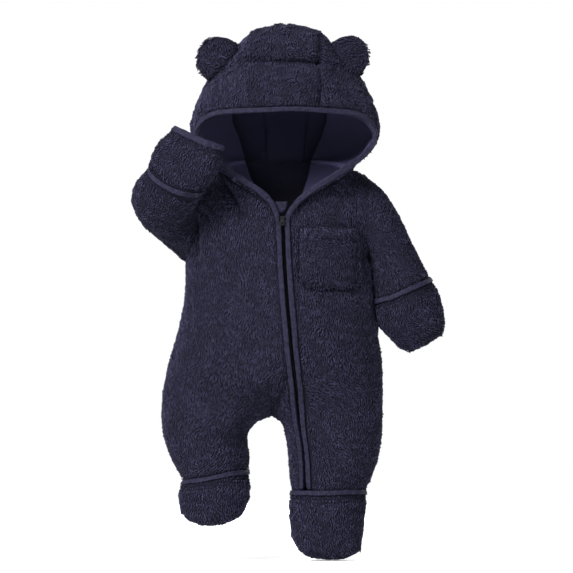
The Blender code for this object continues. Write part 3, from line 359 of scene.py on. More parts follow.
# ------------------------------------------------------------------ mesh code
def positions(mesh):
    """The mesh's points as rows of three numbers."""
    found = np.zeros(len(mesh.vertices) * 3)
    mesh.vertices.foreach_get("co", found)
    return found.reshape(-1, 3)


def place(mesh, points):
    """Moves the mesh's points."""
    mesh.vertices.foreach_set("co", np.asarray(points, np.float32).ravel())
    mesh.update()


def corners(mesh):
    """Each triangle's three points and its material slot."""
    mesh.calc_loop_triangles()
    count = len(mesh.loop_triangles)
    picks = np.zeros(count * 3, int)
    mesh.loop_triangles.foreach_get("vertices", picks)
    faces = np.zeros(count, int)
    mesh.loop_triangles.foreach_get("polygon_index", faces)
    slots = np.zeros(len(mesh.polygons), int)
    mesh.polygons.foreach_get("material_index", slots)
    return positions(mesh)[picks.reshape(-1, 3)], picks.reshape(-1, 3), slots[faces]


def mesh_object(name, points, faces):
    """A new smooth-shaded object from points and faces of one size."""
    mesh = bpy.data.meshes.new(name)
    faces = np.asarray(faces, np.int32)
    mesh.vertices.add(len(points))
    mesh.vertices.foreach_set("co", np.asarray(points, np.float32).ravel())
    mesh.loops.add(faces.size)
    mesh.loops.foreach_set("vertex_index", faces.ravel())
    mesh.polygons.add(len(faces))
    mesh.polygons.foreach_set("loop_start", np.arange(len(faces), dtype=np.int32) * faces.shape[1])
    mesh.update(calc_edges=True)
    mesh.shade_smooth()
    made = bpy.data.objects.new(name, mesh)
    bpy.context.scene.collection.objects.link(made)
    return made


def node_tree_of(names, settled=False):
    """A search tree over the solids with these names, as packed or as they settle."""
    points, faces = [], []
    for name in names:
        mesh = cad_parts[name].data
        start = len(points)
        own = positions(mesh)
        points += [tuple(p) for p in (settle(own) if settled else own)]
        faces += [[start + at for at in p.vertices] for p in mesh.polygons]
    return BVHTree.FromPolygons(points, faces)


def welded(name):
    """The node's mesh with its split points joined and its triangles paired."""
    bm = bmesh.new()
    bm.from_mesh(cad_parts[name].data)
    bmesh.ops.remove_doubles(bm, verts=bm.verts, dist=0.01 * MM)
    bmesh.ops.join_triangles(
        bm, faces=bm.faces, angle_face_threshold=math.radians(35),
        angle_shape_threshold=math.radians(60))
    bm.normal_update()
    return bm


def smooth_groups(bm, limit):
    """Lists of faces that meet at less than the limit angle."""
    found, seen = [], set()
    for first in bm.faces:
        if first.index in seen:
            continue
        seen.add(first.index)
        group, queue = [], [first]
        while queue:
            face = queue.pop()
            group.append(face)
            for edge in face.edges:
                if edge.calc_face_angle(math.pi) > limit:
                    continue
                for other in edge.link_faces:
                    if other.index not in seen:
                        seen.add(other.index)
                        queue.append(other)
        found.append(group)
    return found


def openness(face, solids):
    """The share of rays from the face that leave the garment."""
    across = face.calc_tangent_edge()
    side = face.normal.cross(across)
    start = face.calc_center_median() + face.normal * 0.2 * MM
    clear = 0
    turns = 8
    for turn in range(turns):
        angle = 2 * math.pi * turn / turns
        spread = 0.5 if turn % 2 else 1.2
        way = face.normal + spread * (across * math.cos(angle) + side * math.sin(angle))
        clear += solids.ray_cast(start, way.normalized(), 0.4)[0] is None
    return clear / turns


def mark_sides(bm, solids):
    """Gives each face the slot of the side that it is on: out, in or the rim between."""
    bm.faces.index_update()
    for group in smooth_groups(bm, SIDE_ANGLE):
        area = sum(f.calc_area() for f in group)
        narrow = sum(f.calc_area() / max(e.calc_length() for e in f.edges) for f in group)
        if narrow / len(group) < RIM_WIDTH:
            slot = RIM
        else:
            free = sum(openness(f, solids) * f.calc_area() for f in group)
            slot = OUT_SIDE if free > OPEN_SHARE * area else IN_SIDE
        for face in group:
            face.material_index = slot


def smoothed(name, bm, levels, sharp):
    """A subdivided copy of the mesh, with its edges over the sharp angle kept crisp."""
    crease = bm.edges.layers.float.new("crease_edge")
    for edge in bm.edges:
        if edge.calc_face_angle(0.0) > sharp:
            edge[crease] = 1.0
    mesh = bpy.data.meshes.new(name + "_cage")
    bm.to_mesh(mesh)
    bm.free()
    cage = bpy.data.objects.new(name + "_cage", mesh)
    bpy.context.scene.collection.objects.link(cage)
    modifier = cage.modifiers.new("round", "SUBSURF")
    modifier.levels = levels
    modifier.render_levels = levels
    bpy.context.view_layer.update()
    graph = bpy.context.evaluated_depsgraph_get()
    fine = bpy.data.meshes.new_from_object(cage.evaluated_get(graph))
    bpy.data.objects.remove(cage)
    made = bpy.data.objects.new(name, fine)
    fine.name = name
    fine.shade_smooth()
    bpy.context.scene.collection.objects.link(made)
    return made


def vertex_normals(mesh):
    """Each point's normal."""
    found = np.zeros(len(mesh.vertices) * 3)
    mesh.vertex_normals.foreach_get("vector", found)
    return found.reshape(-1, 3)


def side_normals(mesh, slot):
    """Each point's normal from the faces with this slot that meet there, or zero."""
    points, picks, slots = corners(mesh)
    outer = slots == slot
    around = np.cross(points[:, 1] - points[:, 0], points[:, 2] - points[:, 0])
    found = np.zeros((len(mesh.vertices), 3))
    for corner in range(3):
        np.add.at(found, picks[outer, corner], around[outer])
    return found / np.maximum(np.linalg.norm(found, axis=1), 1e-15)[:, None]


def rim_distance(mesh, reach):
    """Each point's distance to the nearest point of a rim, at most reach."""
    points = positions(mesh)
    _, picks, slots = corners(mesh)
    rim = np.unique(picks[slots == RIM])
    if not len(rim):
        return np.full(len(points), reach)
    tree = KDTree(len(rim))
    for at in rim:
        tree.insert(points[at], int(at))
    tree.balance()
    return np.array([min(tree.find(p)[2], reach) for p in points])


# ------------------------------------------------------------------ materials
def add(tree, kind, settings=None, values=None, links=None):
    """Adds a node, sets its attributes and its sockets' values, and links its sockets."""
    node = tree.nodes.new(kind)
    for name, value in (settings or {}).items():
        setattr(node, name, value)
    for name, value in (values or {}).items():
        node.inputs[name].default_value = value
    for name, source in (links or {}).items():
        tree.links.new(source, node.inputs[name])
    return node


def new_material(name):
    """An empty material's node tree, with the material itself."""
    material = bpy.data.materials.new(name)
    material.use_nodes = True
    material.node_tree.nodes.clear()
    return material, material.node_tree


def finish_material(tree, links, values):
    """Adds the shader and the output."""
    shader = add(tree, "ShaderNodeBsdfPrincipled", values=values, links=links)
    add(tree, "ShaderNodeOutputMaterial", links={"Surface": shader.outputs["BSDF"]})


def full(colour):
    """A colour property with its alpha."""
    return (*colour, 1.0)


def here(tree):
    """The socket that gives each point's place on its object."""
    return add(tree, "ShaderNodeTexCoord").outputs["Object"]


def two_tone(tree, factor, low, high):
    """The colour between two others that the factor picks."""
    blend = add(tree, "ShaderNodeMix", {"data_type": "RGBA"}, links={"Factor": factor})
    blend.inputs[6].default_value = full(low)
    blend.inputs[7].default_value = full(high)
    return blend.outputs[2]


def scaled(colour, share):
    """The colour made lighter or darker."""
    return [c * share for c in colour]


def plush_pile(plush):
    """Polyester coral fleece: long brushed fibres that clump into soft locks.

    The tips catch the light, the roots stay in shade, and the dye varies a little.
    """
    material, tree = new_material("polyester_coral_fleece_pile")
    spot = here(tree)
    along = add(tree, "ShaderNodeAttribute", {"attribute_name": "tip"})
    shade = add(
        tree, "ShaderNodeTexNoise", values={"Scale": 1 / (24 * MM), "Detail": 2.0},
        links={"Vector": spot})
    lock = add(
        tree, "ShaderNodeTexNoise", values={"Scale": 1 / (4.5 * MM), "Detail": 1.0},
        links={"Vector": spot})
    blend = add(
        tree, "ShaderNodeMath", {"operation": "MULTIPLY_ADD"},
        links={0: lock.outputs["Fac"], 2: along.outputs["Fac"]})
    blend.inputs[1].default_value = 0.6
    # Painted light and shade along each lock from the tip attribute, mixed with a random tone per
    # lock.
    shade_and_tone = add(
        tree, "ShaderNodeMapRange",
        values={"From Min": 0.25, "From Max": 1.2},
        links={"Value": blend.outputs["Value"]})
    colour = two_tone(tree, shade_and_tone.outputs["Result"], plush.root, plush.tip)
    dyed_and_lit = add(
        tree, "ShaderNodeHueSaturation", links={"Color": colour})
    light = add(
        tree, "ShaderNodeMapRange",
        values={"From Min": 0.3, "From Max": 0.7, "To Min": 0.82, "To Max": 1.2},
        links={"Value": shade.outputs["Fac"]})
    # The tone attribute carries painted light and shade: each piece's painted light, painted shade
    # beside seams, bindings and stitching, the pocket's painted highlights, and a random tone per
    # lock.
    own = add(tree, "ShaderNodeAttribute", {"attribute_name": "tone"})
    both = add(
        tree, "ShaderNodeMath", {"operation": "MULTIPLY"},
        links={0: light.outputs["Result"], 1: own.outputs["Fac"]})
    tree.links.new(both.outputs["Value"], dyed_and_lit.inputs["Value"])
    finish_material(
        tree, {"Base Color": dyed_and_lit.outputs["Color"]},
        {"Roughness": 0.7, "IOR": 1.57, "Specular IOR Level": 0.04, "Sheen Weight": 0.02,
         "Sheen Roughness": 0.5, "Sheen Tint": (0.45, 0.43, 0.85, 1.0)})
    return material


def plush_ground(plush):
    """The short fibres at the pile's foot, darker because little light gets down."""
    material, tree = new_material("polyester_coral_fleece_ground")
    spot = here(tree)
    stretched = add(
        tree, "ShaderNodeMapping", values={"Scale": (1.0, 1.0, 0.35)},
        links={"Vector": spot})
    streak = add(
        tree, "ShaderNodeTexNoise", values={"Scale": 1 / (2.4 * MM), "Detail": 3.0},
        links={"Vector": stretched.outputs["Vector"]})
    bump = add(
        tree, "ShaderNodeBump", values={"Strength": 0.9, "Distance": 1.2 * MM},
        links={"Height": streak.outputs["Fac"]})
    colour = two_tone(tree, streak.outputs["Fac"], plush.root, scaled(plush.tip, 0.4))
    finish_material(
        tree, {"Base Color": colour, "Normal": bump.outputs["Normal"]},
        {"Roughness": 0.9, "IOR": 1.57, "Specular IOR Level": 0.03, "Sheen Weight": 0.01,
         "Sheen Roughness": 0.5, "Sheen Tint": (0.45, 0.43, 0.85, 1.0)})
    return material


def fleece_lining(plush):
    """The fleece's shorn inner side: a dense short nap, smoother. It is painted darker, as painted
    shade, between the hood's facing edges, lower down, beside those edges and at the rims.
    """
    material, tree = new_material("shorn_polyester_fleece")
    spot = here(tree)
    nap = add(
        tree, "ShaderNodeTexNoise", values={"Scale": 1 / (3.0 * MM), "Detail": 4.0},
        links={"Vector": spot})
    bump = add(
        tree, "ShaderNodeBump", values={"Strength": 0.25, "Distance": 0.3 * MM},
        links={"Height": nap.outputs["Fac"]})
    inside = add(tree, "ShaderNodeAttribute", {"attribute_name": "inside"})
    shade = add(tree, "ShaderNodeAttribute", {"attribute_name": "shade"})
    past = add(
        tree, "ShaderNodeMapRange", {"interpolation_type": "SMOOTHSTEP"},
        {"From Min": -0.8, "From Max": 0.8}, {"Value": inside.outputs["Fac"]})
    lining_shade = add(
        tree, "ShaderNodeMath", {"operation": "MULTIPLY"},
        links={0: past.outputs["Result"], 1: shade.outputs["Fac"]})
    tone = add(
        tree, "ShaderNodeMath", {"operation": "MULTIPLY_ADD", "use_clamp": True},
        links={0: nap.outputs["Fac"], 2: lining_shade.outputs["Value"]})
    tone.inputs[1].default_value = 0.12
    colour = two_tone(tree, tone.outputs["Value"], plush.lining, scaled(plush.lining, 0.06))
    finish_material(
        tree, {"Base Color": colour, "Normal": bump.outputs["Normal"]},
        {"Roughness": 0.85, "IOR": 1.57, "Specular IOR Level": 0.06, "Sheen Weight": 0.02,
         "Sheen Roughness": 0.4, "Sheen Tint": (0.5, 0.48, 0.85, 1.0)})
    return material


def jersey_knit(trim):
    """Cotton jersey: fine ribs of knit that pucker along the stitching, with a soft sheen.

    A wale is 0.7 mm wide and is drawn at 1.4 mm, so that it shows.
    """
    material, tree = new_material("knitted_cotton_jersey")
    spot = here(tree)
    wale = add(
        tree, "ShaderNodeTexWave", {"bands_direction": "DIAGONAL"},
        {"Scale": 1 / (1.4 * MM) / 3.2, "Distortion": 1.5, "Detail": 1.0},
        {"Vector": spot})
    pucker = add(
        tree, "ShaderNodeTexNoise", values={"Scale": 1 / (3.2 * MM), "Detail": 2.0},
        links={"Vector": spot})
    height = add(
        tree, "ShaderNodeMath", {"operation": "MULTIPLY_ADD"},
        links={0: pucker.outputs["Fac"], 2: wale.outputs["Fac"]})
    height.inputs[1].default_value = 2.5
    bump = add(
        tree, "ShaderNodeBump", values={"Strength": 0.6, "Distance": 0.4 * MM},
        links={"Height": height.outputs["Value"]})
    tone = add(
        tree, "ShaderNodeMapRange", values={"From Min": 0.3, "From Max": 0.7},
        links={"Value": pucker.outputs["Fac"]})
    colour = two_tone(
        tree, tone.outputs["Result"], scaled(trim.jersey, 0.55), scaled(trim.jersey, 1.4))
    finish_material(
        tree, {"Base Color": colour, "Normal": bump.outputs["Normal"]},
        {"Roughness": 0.65, "IOR": 1.5, "Specular IOR Level": 0.05, "Sheen Weight": 0.02,
         "Sheen Roughness": 0.3, "Sheen Tint": (0.5, 0.48, 0.85, 1.0)})
    return material


def woven_tape(trim):
    """Woven polyester tape: a close herringbone, matt and dark."""
    material, tree = new_material("woven_polyester_tape")
    spot = here(tree)
    weave = add(
        tree, "ShaderNodeTexWave", {"bands_direction": "Z"},
        {"Scale": 1 / (1.0 * MM) / 3.2, "Distortion": 0.5},
        {"Vector": spot})
    bump = add(
        tree, "ShaderNodeBump", values={"Strength": 0.4, "Distance": 0.2 * MM},
        links={"Height": weave.outputs["Fac"]})
    colour = two_tone(tree, weave.outputs["Fac"], scaled(trim.tape, 0.8), scaled(trim.tape, 1.2))
    finish_material(
        tree, {"Base Color": colour, "Normal": bump.outputs["Normal"]},
        {"Roughness": 0.8, "IOR": 1.57, "Specular IOR Level": 0.05})
    return material


def nylon_coil(trim):
    """Nylon monofilament: smooth plastic wire with a dull gloss."""
    material, tree = new_material("nylon_zip_coil")
    spot = here(tree)
    tone = add(
        tree, "ShaderNodeTexNoise", values={"Scale": 1 / (6 * MM)},
        links={"Vector": spot})
    colour = two_tone(tree, tone.outputs["Fac"], scaled(trim.coil, 0.8), scaled(trim.coil, 1.2))
    finish_material(
        tree, {"Base Color": colour},
        {"Roughness": 0.45, "IOR": 1.53, "Specular IOR Level": 0.15})
    return material


def painted_zinc(trim):
    """Die-cast zinc under satin paint: a soft gloss, scuffed where fingers hold it."""
    material, tree = new_material("painted_zinc_alloy")
    spot = here(tree)
    scuff = add(
        tree, "ShaderNodeTexNoise", values={"Scale": 1 / (1.5 * MM), "Detail": 4.0},
        links={"Vector": spot})
    rough = add(
        tree, "ShaderNodeMapRange", values={"To Min": 0.45, "To Max": 0.7},
        links={"Value": scuff.outputs["Fac"]})
    colour = two_tone(
        tree, scuff.outputs["Fac"], scaled(trim.metal, 0.8), scaled(trim.metal, 1.25))
    finish_material(
        tree, {"Base Color": colour, "Roughness": rough.outputs["Result"]},
        {"Metallic": 0.0, "Specular IOR Level": 0.12})
    return material


# ------------------------------------------------------------------- the pile
def nap_direction(points, normals, curl, draw):
    """The way each lock lies: down and outwards, with swirls, along the cloth."""
    fan = np.stack([points[:, 0] * 4.5, points[:, 1] * 2.0, -np.ones(len(points))], 1)
    level = fan - (fan * normals).sum(1)[:, None] * normals
    level = unit(level)
    across = np.cross(normals, level)
    turn = 0.42 * waves(points, 34 * MM, 11)[:, 0] + 0.26 * waves(points, 10 * MM, 12)[:, 0]
    turn = curl * (turn + draw.normal(0, 0.08, len(points)))
    return level * np.cos(turn)[:, None] + across * np.sin(turn)[:, None]


def spread_out(points, gap):
    """The rows of the points that are picked so that no two lie closer than the gap."""
    steps = [(i, j, k) for i in (-1, 0, 1) for j in (-1, 0, 1) for k in (-1, 0, 1)]
    cells, found = {}, []
    grid = np.floor(points / gap).astype(int).tolist()
    for at, ((i, j, k), (x, y, z)) in enumerate(zip(grid, points.tolist())):
        if all(
                (x - a) ** 2 + (y - b) ** 2 + (z - c) ** 2 > gap * gap
                for u, v, w in steps for a, b, c in cells.get((i + u, j + v, k + w), ())):
            cells.setdefault((i, j, k), []).append((x, y, z))
            found.append(at)
    return np.array(found)


def grow_pile(panel, kind, plush, trims, seed):
    """Locks of pile over the panel's outer side, short beside seams and bindings, and painted
    darker there as painted shade.
    """
    spread, reach, curl, lumps, tone = kind
    draw = np.random.default_rng(seed)
    points, _, slots = corners(panel.data)
    points = points[slots == OUT_SIDE]
    around = np.cross(points[:, 1] - points[:, 0], points[:, 2] - points[:, 0])
    areas = np.linalg.norm(around, axis=1) / 2
    gap = spread * plush.spacing * 1.0
    count = int(2.2 * areas.sum() / gap**2)
    picked = draw.choice(len(areas), count, p=areas / areas.sum())
    one, two = draw.random(count), draw.random(count)
    over = one + two > 1
    one[over], two[over] = 1 - one[over], 1 - two[over]
    corner = points[picked]
    roots = (
        corner[:, 0]
        + one[:, None] * (corner[:, 1] - corner[:, 0])
        + two[:, None] * (corner[:, 2] - corner[:, 0]))
    apart = spread_out(roots, gap)
    roots, picked, count = roots[apart], picked[apart], len(apart)
    normals = unit(around[picked])
    lie = nap_direction(roots, normals, curl, draw)
    clump = waves(roots, 6.5 * MM, 14)[:, 0]
    lift = plush.lift + 0.1 * lumps * np.clip(clump, -0.5, 2) + draw.normal(0, 0.04, count)
    lift = np.maximum(lift, 0.02)
    lengths = reach * plush.length * draw.uniform(0.72, 1.15, count)
    seam = rim_reach(panel, roots)
    crossing = seam - rim_reach(panel, roots + lie * lengths[:, None])
    toward = (crossing > 0) & (seam < lengths)
    if panel.name not in FREE_EDGED:
        lengths[toward] = np.maximum(seam[toward] * 0.8, 0.3 * lengths[toward])
        lengths *= 0.45 + 0.55 * eased(seam / (3.5 * MM))
    keep = seam > (0.0 if panel.name in FREE_EDGED else 0.9 * MM)
    painted_light_and_tone = np.ones(count)
    # Painted shade: locks near a seam are darker.
    painted_light_and_tone *= 0.5 + 0.5 * eased(seam / (3.2 * MM))
    stitched = panel.name.removesuffix("_cloth") in STITCHED
    if panel.name == "pocket_cloth":
        hem = np.abs(roots[:, 2] - POCKET_HEM) < 1.3 * MM
        lengths[hem] *= 0.45
        # Painted light and shade on the pocket: its top above the hem and the bulge near its rim
        # are lighter, as painted highlights, and the hem line is darker, as painted shade.
        painted_light_and_tone = np.where(roots[:, 2] > POCKET_HEM, 1.2, 1.0) + 0.25 * (seam < 4 * MM)
        painted_light_and_tone[hem] = 0.4
    clear = POCKET_CLEAR if panel.name == "front_left_cloth" else TRIM_CLEAR
    if trims:
        tips = roots + lie * lengths[:, None]
        for at in range(count):
            root_gap = trims.find_nearest(roots[at], TREE_REACH)[3]
            if root_gap is None:
                continue
            tip_gap = trims.find_nearest(tips[at], TREE_REACH)[3]
            keep[at] = root_gap > clear
            # Along the stitch rows the locks are short and painted dark, as the shade in the
            # stitched grooves.
            if stitched and min(abs(root_gap - row) for row in STITCH_ROWS) < 0.8 * MM:
                lengths[at] *= 0.4
                painted_light_and_tone[at] = 0.4
            # Painted shade beside a binding or the zip.
            if root_gap < BESIDE_TRIM:
                painted_light_and_tone[at] *= 0.65
                lengths[at] *= 0.75
            if tip_gap is not None and tip_gap < min(root_gap, 2.2 * MM):
                lengths[at] *= np.clip((root_gap - 0.6 * MM) / lengths[at], 0.3, 1.0)
                lift[at] += 0.35
    roots, normals, lie = roots[keep], normals[keep], lie[keep]
    lengths, lift, clump, painted_light_and_tone = lengths[keep], lift[keep], clump[keep], painted_light_and_tone[keep]
    roots = roots + normals * (0.35 * MM * lumps * np.clip(clump, -0.3, 2))[:, None]
    count = len(roots)
    axis = lie * np.cos(lift)[:, None] + normals * np.sin(lift)[:, None]
    rise = normals * np.cos(lift)[:, None] - lie * np.sin(lift)[:, None]
    side = np.cross(axis, rise)
    widths = plush.width * draw.uniform(0.75, 1.25, count)[:, None] / 2
    belly = roots + axis * (lengths * 0.4)[:, None]
    tip = roots + axis * lengths[:, None] - normals * (lengths * 0.1)[:, None]
    made = np.stack(
        [
            roots - normals * 0.6 * MM,
            belly + side * widths,
            belly + rise * widths * 1.1,
            belly - side * widths,
            tip,
        ],
        1,
    ).reshape(-1, 3)
    pattern = np.array([[0, 2, 1], [0, 3, 2], [0, 1, 3], [4, 1, 2], [4, 2, 3], [4, 3, 1]])
    faces = (pattern[None] + 5 * np.arange(count)[:, None, None]).reshape(-1, 3)
    pile = mesh_object(panel.name + "_pile", made, faces)
    # The tip attribute paints light and shade on each lock: dark at the root and along its sides,
    # light on its ridge and tip, and lighter on raised clumps.
    along = pile.data.attributes.new("tip", "FLOAT", "POINT")
    shade = np.array([0, 0.04, 0.8, 0.04, 1.0]) * (0.85 + 0.25 * np.clip(clump, -1, 1))[:, None]
    along.data.foreach_set("value", shade.ravel().astype(np.float32))
    own = pile.data.attributes.new("tone", "FLOAT", "POINT")
    # Each lock's tone holds its piece's painted light, the painted shade and highlights above, and
    # a random tone of its own.
    painted_light_and_tone = tone * painted_light_and_tone * draw.uniform(0.68, 1.32, count)
    own.data.foreach_set("value", np.repeat(painted_light_and_tone, 5).astype(np.float32))
    return pile


def rim_reach(panel, roots):
    """The distance from each root to the panel's nearest rim, at most 12 mm."""
    points, _, slots = corners(panel.data)
    middles = points[slots == RIM].mean(1)
    if not len(middles):
        return np.full(len(roots), 12 * MM)
    tree = KDTree(len(middles))
    for at, middle in enumerate(middles):
        tree.insert(middle, at)
    tree.balance()
    return np.array([min(tree.find(root)[2], 12 * MM) for root in roots])


def make_panel(name, plush, levels, solids, bound):
    """The panel's cloth: rounded, let in for its pile, pressed at its seams, settled."""
    bm = welded(name)
    if name not in EARS:
        mark_sides(bm, solids)
    panel = smoothed(name + "_cloth", bm, levels, SIDE_ANGLE)
    mesh = panel.data
    away = rim_distance(mesh, 6 * MM)
    press = (plush.inset + 0.6 * MM * (1 - eased(away / (6 * MM)))) * eased(away / (2 * MM))
    if name == "pocket":
        press = 0.2 * MM - 2.0 * MM * eased(away / (6 * MM))
    points = positions(mesh) - side_normals(mesh, OUT_SIDE) * press[:, None]
    shove = side_normals(mesh, RIM)
    for at in np.flatnonzero(np.linalg.norm(shove, axis=1) > 0.1):
        if bound.find_nearest(points[at], 4 * MM)[0] is not None:
            shove[at] = 0
    neck = np.exp(-(((points[:, 2] - 16 * MM) / (22 * MM)) ** 2))
    points += shove * (1.0 + 0.8 * neck)[:, None] * MM
    # Painted shade for the lining: it is stored as darker between the hood's facing edges, towards
    # the bottom, close beside those edges and at the rims.
    heights, right, left = (
        np.array(row) for row in (FACING_LEVELS, FACING_RIGHT, FACING_LEFT))
    inside = np.minimum(
        points[:, 0] - np.interp(points[:, 2], heights, right),
        np.interp(points[:, 2], heights, left) - points[:, 0])
    shade = 0.3 + 0.65 * eased((60 * MM - points[:, 2]) / (75 * MM))
    shade += (0.97 - shade) * 0.8 * np.exp(-np.maximum(inside, 0) / (8 * MM))
    shade += 0.2 * (np.linalg.norm(side_normals(mesh, RIM), axis=1) > 0.1)
    for label, values in (("inside", inside / MM), ("shade", shade)):
        stored = mesh.attributes.new(label, "FLOAT", "POINT")
        stored.data.foreach_set("value", values.astype(np.float32))
    place(mesh, settle(points))
    return panel


def build_plush(names, levels):
    """Cloth and pile for each named piece."""
    plush = bpy.context.scene.onesie_plush
    solids = node_tree_of(sorted(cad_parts))
    bound = node_tree_of(BINDINGS)
    trims = settled_trims(())
    beside_zip = settled_trims((), left_out=("foot", "mitten"))
    ground = bpy.data.materials.get("polyester_coral_fleece_ground") or plush_ground(plush)
    lining = bpy.data.materials.get("shorn_polyester_fleece") or fleece_lining(plush)
    fur = bpy.data.materials.get("polyester_coral_fleece_pile") or plush_pile(plush)
    made = {}
    beside_pocket = settled_trims(("pocket",), left_out=("foot", "mitten"))
    for at, name in enumerate(names):
        panel = make_panel(name, plush, levels, solids, bound)
        for material in (ground, lining, ground if name == "pocket" else lining):
            panel.data.materials.append(material)
        near = beside_zip if name in BESIDE_ZIP else trims
        if name == "front_left":
            near = beside_pocket
        pile = grow_pile(panel, PILE[name], plush, near, plush.seed + 101 * at + len(name))
        pile.data.materials.append(fur)
        for piece in (panel, pile):
            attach(piece, "garment")
        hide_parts(name)
        made[name] = (panel, pile)
    return made


def settled_trims(others, left_out=()):
    """A search tree over the bindings, the zip and the other pieces, as they lie."""
    names = (*BINDINGS, *TAPES, "zip_slider", *others)
    kept = [name for name in names if not any(word in name for word in left_out)]
    return node_tree_of(kept, settled=True)


# ------------------------------------------------------------------ operators
class ONESIE_OT_panels(bpy.types.Operator):
    """Makes the plush panels of the body, sleeves, hood, mittens and feet"""

    bl_idname = "onesie.panels"
    bl_label = "Plush panels"

    def execute(self, context):
        made = build_plush(list(PANELS), 2)
        for name, (width, length, share, held, trims) in PANELS.items():
            panel, pile = made[name]
            with_pieces = [pile]
            for trim in trims:
                with_pieces += [bpy.data.objects[trim + "_strip"]]
        return {"FINISHED"}


class ONESIE_OT_ears(bpy.types.Operator):
    """Makes the two padded ears on the hood"""

    bl_idname = "onesie.ears"
    bl_label = "Ears"

    def execute(self, context):
        for ear, _ in build_plush(EARS, 2).values():
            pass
        return {"FINISHED"}


class ONESIE_OT_bindings(bpy.types.Operator):
    """Makes the jersey bindings and the chin guard"""

    bl_idname = "onesie.bindings"
    bl_label = "Jersey bindings"

    def execute(self, context):
        jersey = jersey_knit(context.scene.onesie_trim)
        for name in BINDINGS:
            strip = smoothed(name + "_strip", welded(name), 2, math.radians(75))
            points = positions(strip.data)
            swell = 0.3 * MM * waves(points, 3.5 * MM, 21)[:, :1] - 0.1 * MM
            points += vertex_normals(strip.data) * swell
            place(strip.data, settle(points))
            strip.data.materials.clear()
            strip.data.materials.append(jersey)
            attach(strip, "garment")
            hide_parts(name)
        for side in TURNS:
            binding_turn(side, jersey)
        return {"FINISHED"}


def tube_faces(start, rows, around, outward=True):
    """Triangles that close a tube of rings of points, numbered from start."""
    faces = []
    for row in range(rows - 1):
        for turn in range(around):
            a = start + row * around + turn
            b = start + row * around + (turn + 1) % around
            faces += [
                trio if outward else (trio[0], trio[2], trio[1])
                for trio in ((a, b, b + around), (a, b + around, a + around))]
    for row, flip in ((0, outward), (rows - 1, not outward)):
        first = start + row * around
        for turn in range(1, around - 1):
            trio = (first, first + turn, first + turn + 1)
            faces.append(trio[::-1] if flip else trio)
    return faces


def strap(name, path, normals, width, thickness):
    """A rounded strip that follows the path, square to the normals, thin at its ends."""
    path, normals = np.asarray(path), np.asarray(normals)
    runs = unit(np.gradient(path, axis=0))
    sides = unit(np.cross(runs, normals))
    outs = np.cross(sides, runs)
    around = 14
    points = []
    for at, (centre, side, out) in enumerate(zip(path, sides, outs)):
        share = min(at, len(path) - 1 - at) / len(path)
        size = 0.72 + 0.28 * float(eased(share / 0.22))
        for turn in range(around):
            angle = 2 * math.pi * turn / around
            across = np.sign(math.cos(angle)) * abs(math.cos(angle)) ** 0.75 * width / 2
            up = np.sign(math.sin(angle)) * abs(math.sin(angle)) ** 0.75 * thickness / 2
            points.append(centre + size * (side * across + out * up))
    return mesh_object(name, points, tube_faces(0, len(path), around))


def binding_turn(side, jersey):
    """The short turn where the hood's binding runs on into the front's."""
    spots = np.array(TURNS[side]) * MM
    share = np.linspace(0, len(spots) - 1, 41)
    path = np.stack([np.interp(share, range(len(spots)), spots[:, axis]) for axis in range(3)], 1)
    for _ in range(30):
        path[1:-1] = (path[:-2] + 2 * path[1:-1] + path[2:]) / 4
    path = settle(path)
    normals = [(0, -1, 0)] * len(path)
    turn = strap("binding_turn_" + side, path, normals, TURN_WIDTH, TURN_THICKNESS)
    turn.data.materials.append(jersey)
    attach(turn, "garment")


class ONESIE_OT_zip(bpy.types.Operator):
    """Makes the zip's tapes and coil, and finishes its slider and pull"""

    bl_idname = "onesie.zip"
    bl_label = "Zip"

    def execute(self, context):
        trim = context.scene.onesie_trim
        tape = woven_tape(trim)
        edges = {}
        for name in TAPES:
            strip = smoothed(name + "_strip", welded(name), 1, math.radians(60))
            place(strip.data, settle(positions(strip.data)))
            strip.data.materials.clear()
            strip.data.materials.append(tape)
            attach(strip, "garment")
            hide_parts(name)
            edges[name] = inner_edge(positions(strip.data), name)
        coil = make_coil(edges, trim)
        coil.data.materials.append(nylon_coil(trim))
        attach(coil, "garment")
        metal = painted_zinc(trim)
        for name in ("zip_slider", "zip_pull"):
            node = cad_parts[name]
            node.data.materials.clear()
            node.data.materials.append(metal)
        return {"FINISHED"}


def inner_edge(points, name):
    """The tape's edge beside the zip's middle: its x and front y, read by level."""
    levels = np.arange(points[:, 2].max() - 2 * MM, points[:, 2].min() + 2 * MM, -4 * MM)
    rows = []
    sign = 1 if name.endswith("left") else -1
    for level in levels:
        near = points[np.abs(points[:, 2] - level) < 5 * MM]
        if not len(near):
            continue
        inner = near[np.argsort(sign * near[:, 0])[: max(3, len(near) // 4)]]
        rows.append((level, inner[:, 0].mean(), inner[:, 1].min()))
    return np.array(rows)[::-1]


def make_coil(edges, trim):
    """Turns of coil that cross from side to side down the closed zip."""
    left, right = edges["zip_tape_left"], edges["zip_tape_right"]
    low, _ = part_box("zip_slider")
    bottom = max(left[0, 0], right[0, 0]) + 2 * MM
    levels = np.arange(low.z - 1 * MM, bottom, -trim.pitch / 2)
    points, faces = [], []
    around = 6
    steps = 5
    for at, level in enumerate(levels):
        xs = [np.interp(level, rows[:, 0], rows[:, 1]) for rows in (left, right)]
        ys = [np.interp(level, rows[:, 0], rows[:, 2]) for rows in (left, right)]
        middle = sum(xs) / 2
        depth = sum(ys) / 2 + 0.1 * MM
        side = 1 if at % 2 else -1
        start = len(points)
        for step in range(steps):
            share = step / (steps - 1)
            centre = (
                middle + side * (1.9 - 2.6 * share) * MM,
                depth - 0.45 * MM * math.sin(math.pi * share),
                level)
            radius = 0.42 * MM * (1.0 if 0 < step < steps - 1 else 0.7)
            for turn in range(around):
                angle = 2 * math.pi * turn / around
                points.append(
                    (centre[0], centre[1] + radius * math.cos(angle),
                     centre[2] + radius * math.sin(angle)))
        faces += tube_faces(start, steps, around, side > 0)
    return mesh_object("zip_coil", points, faces)


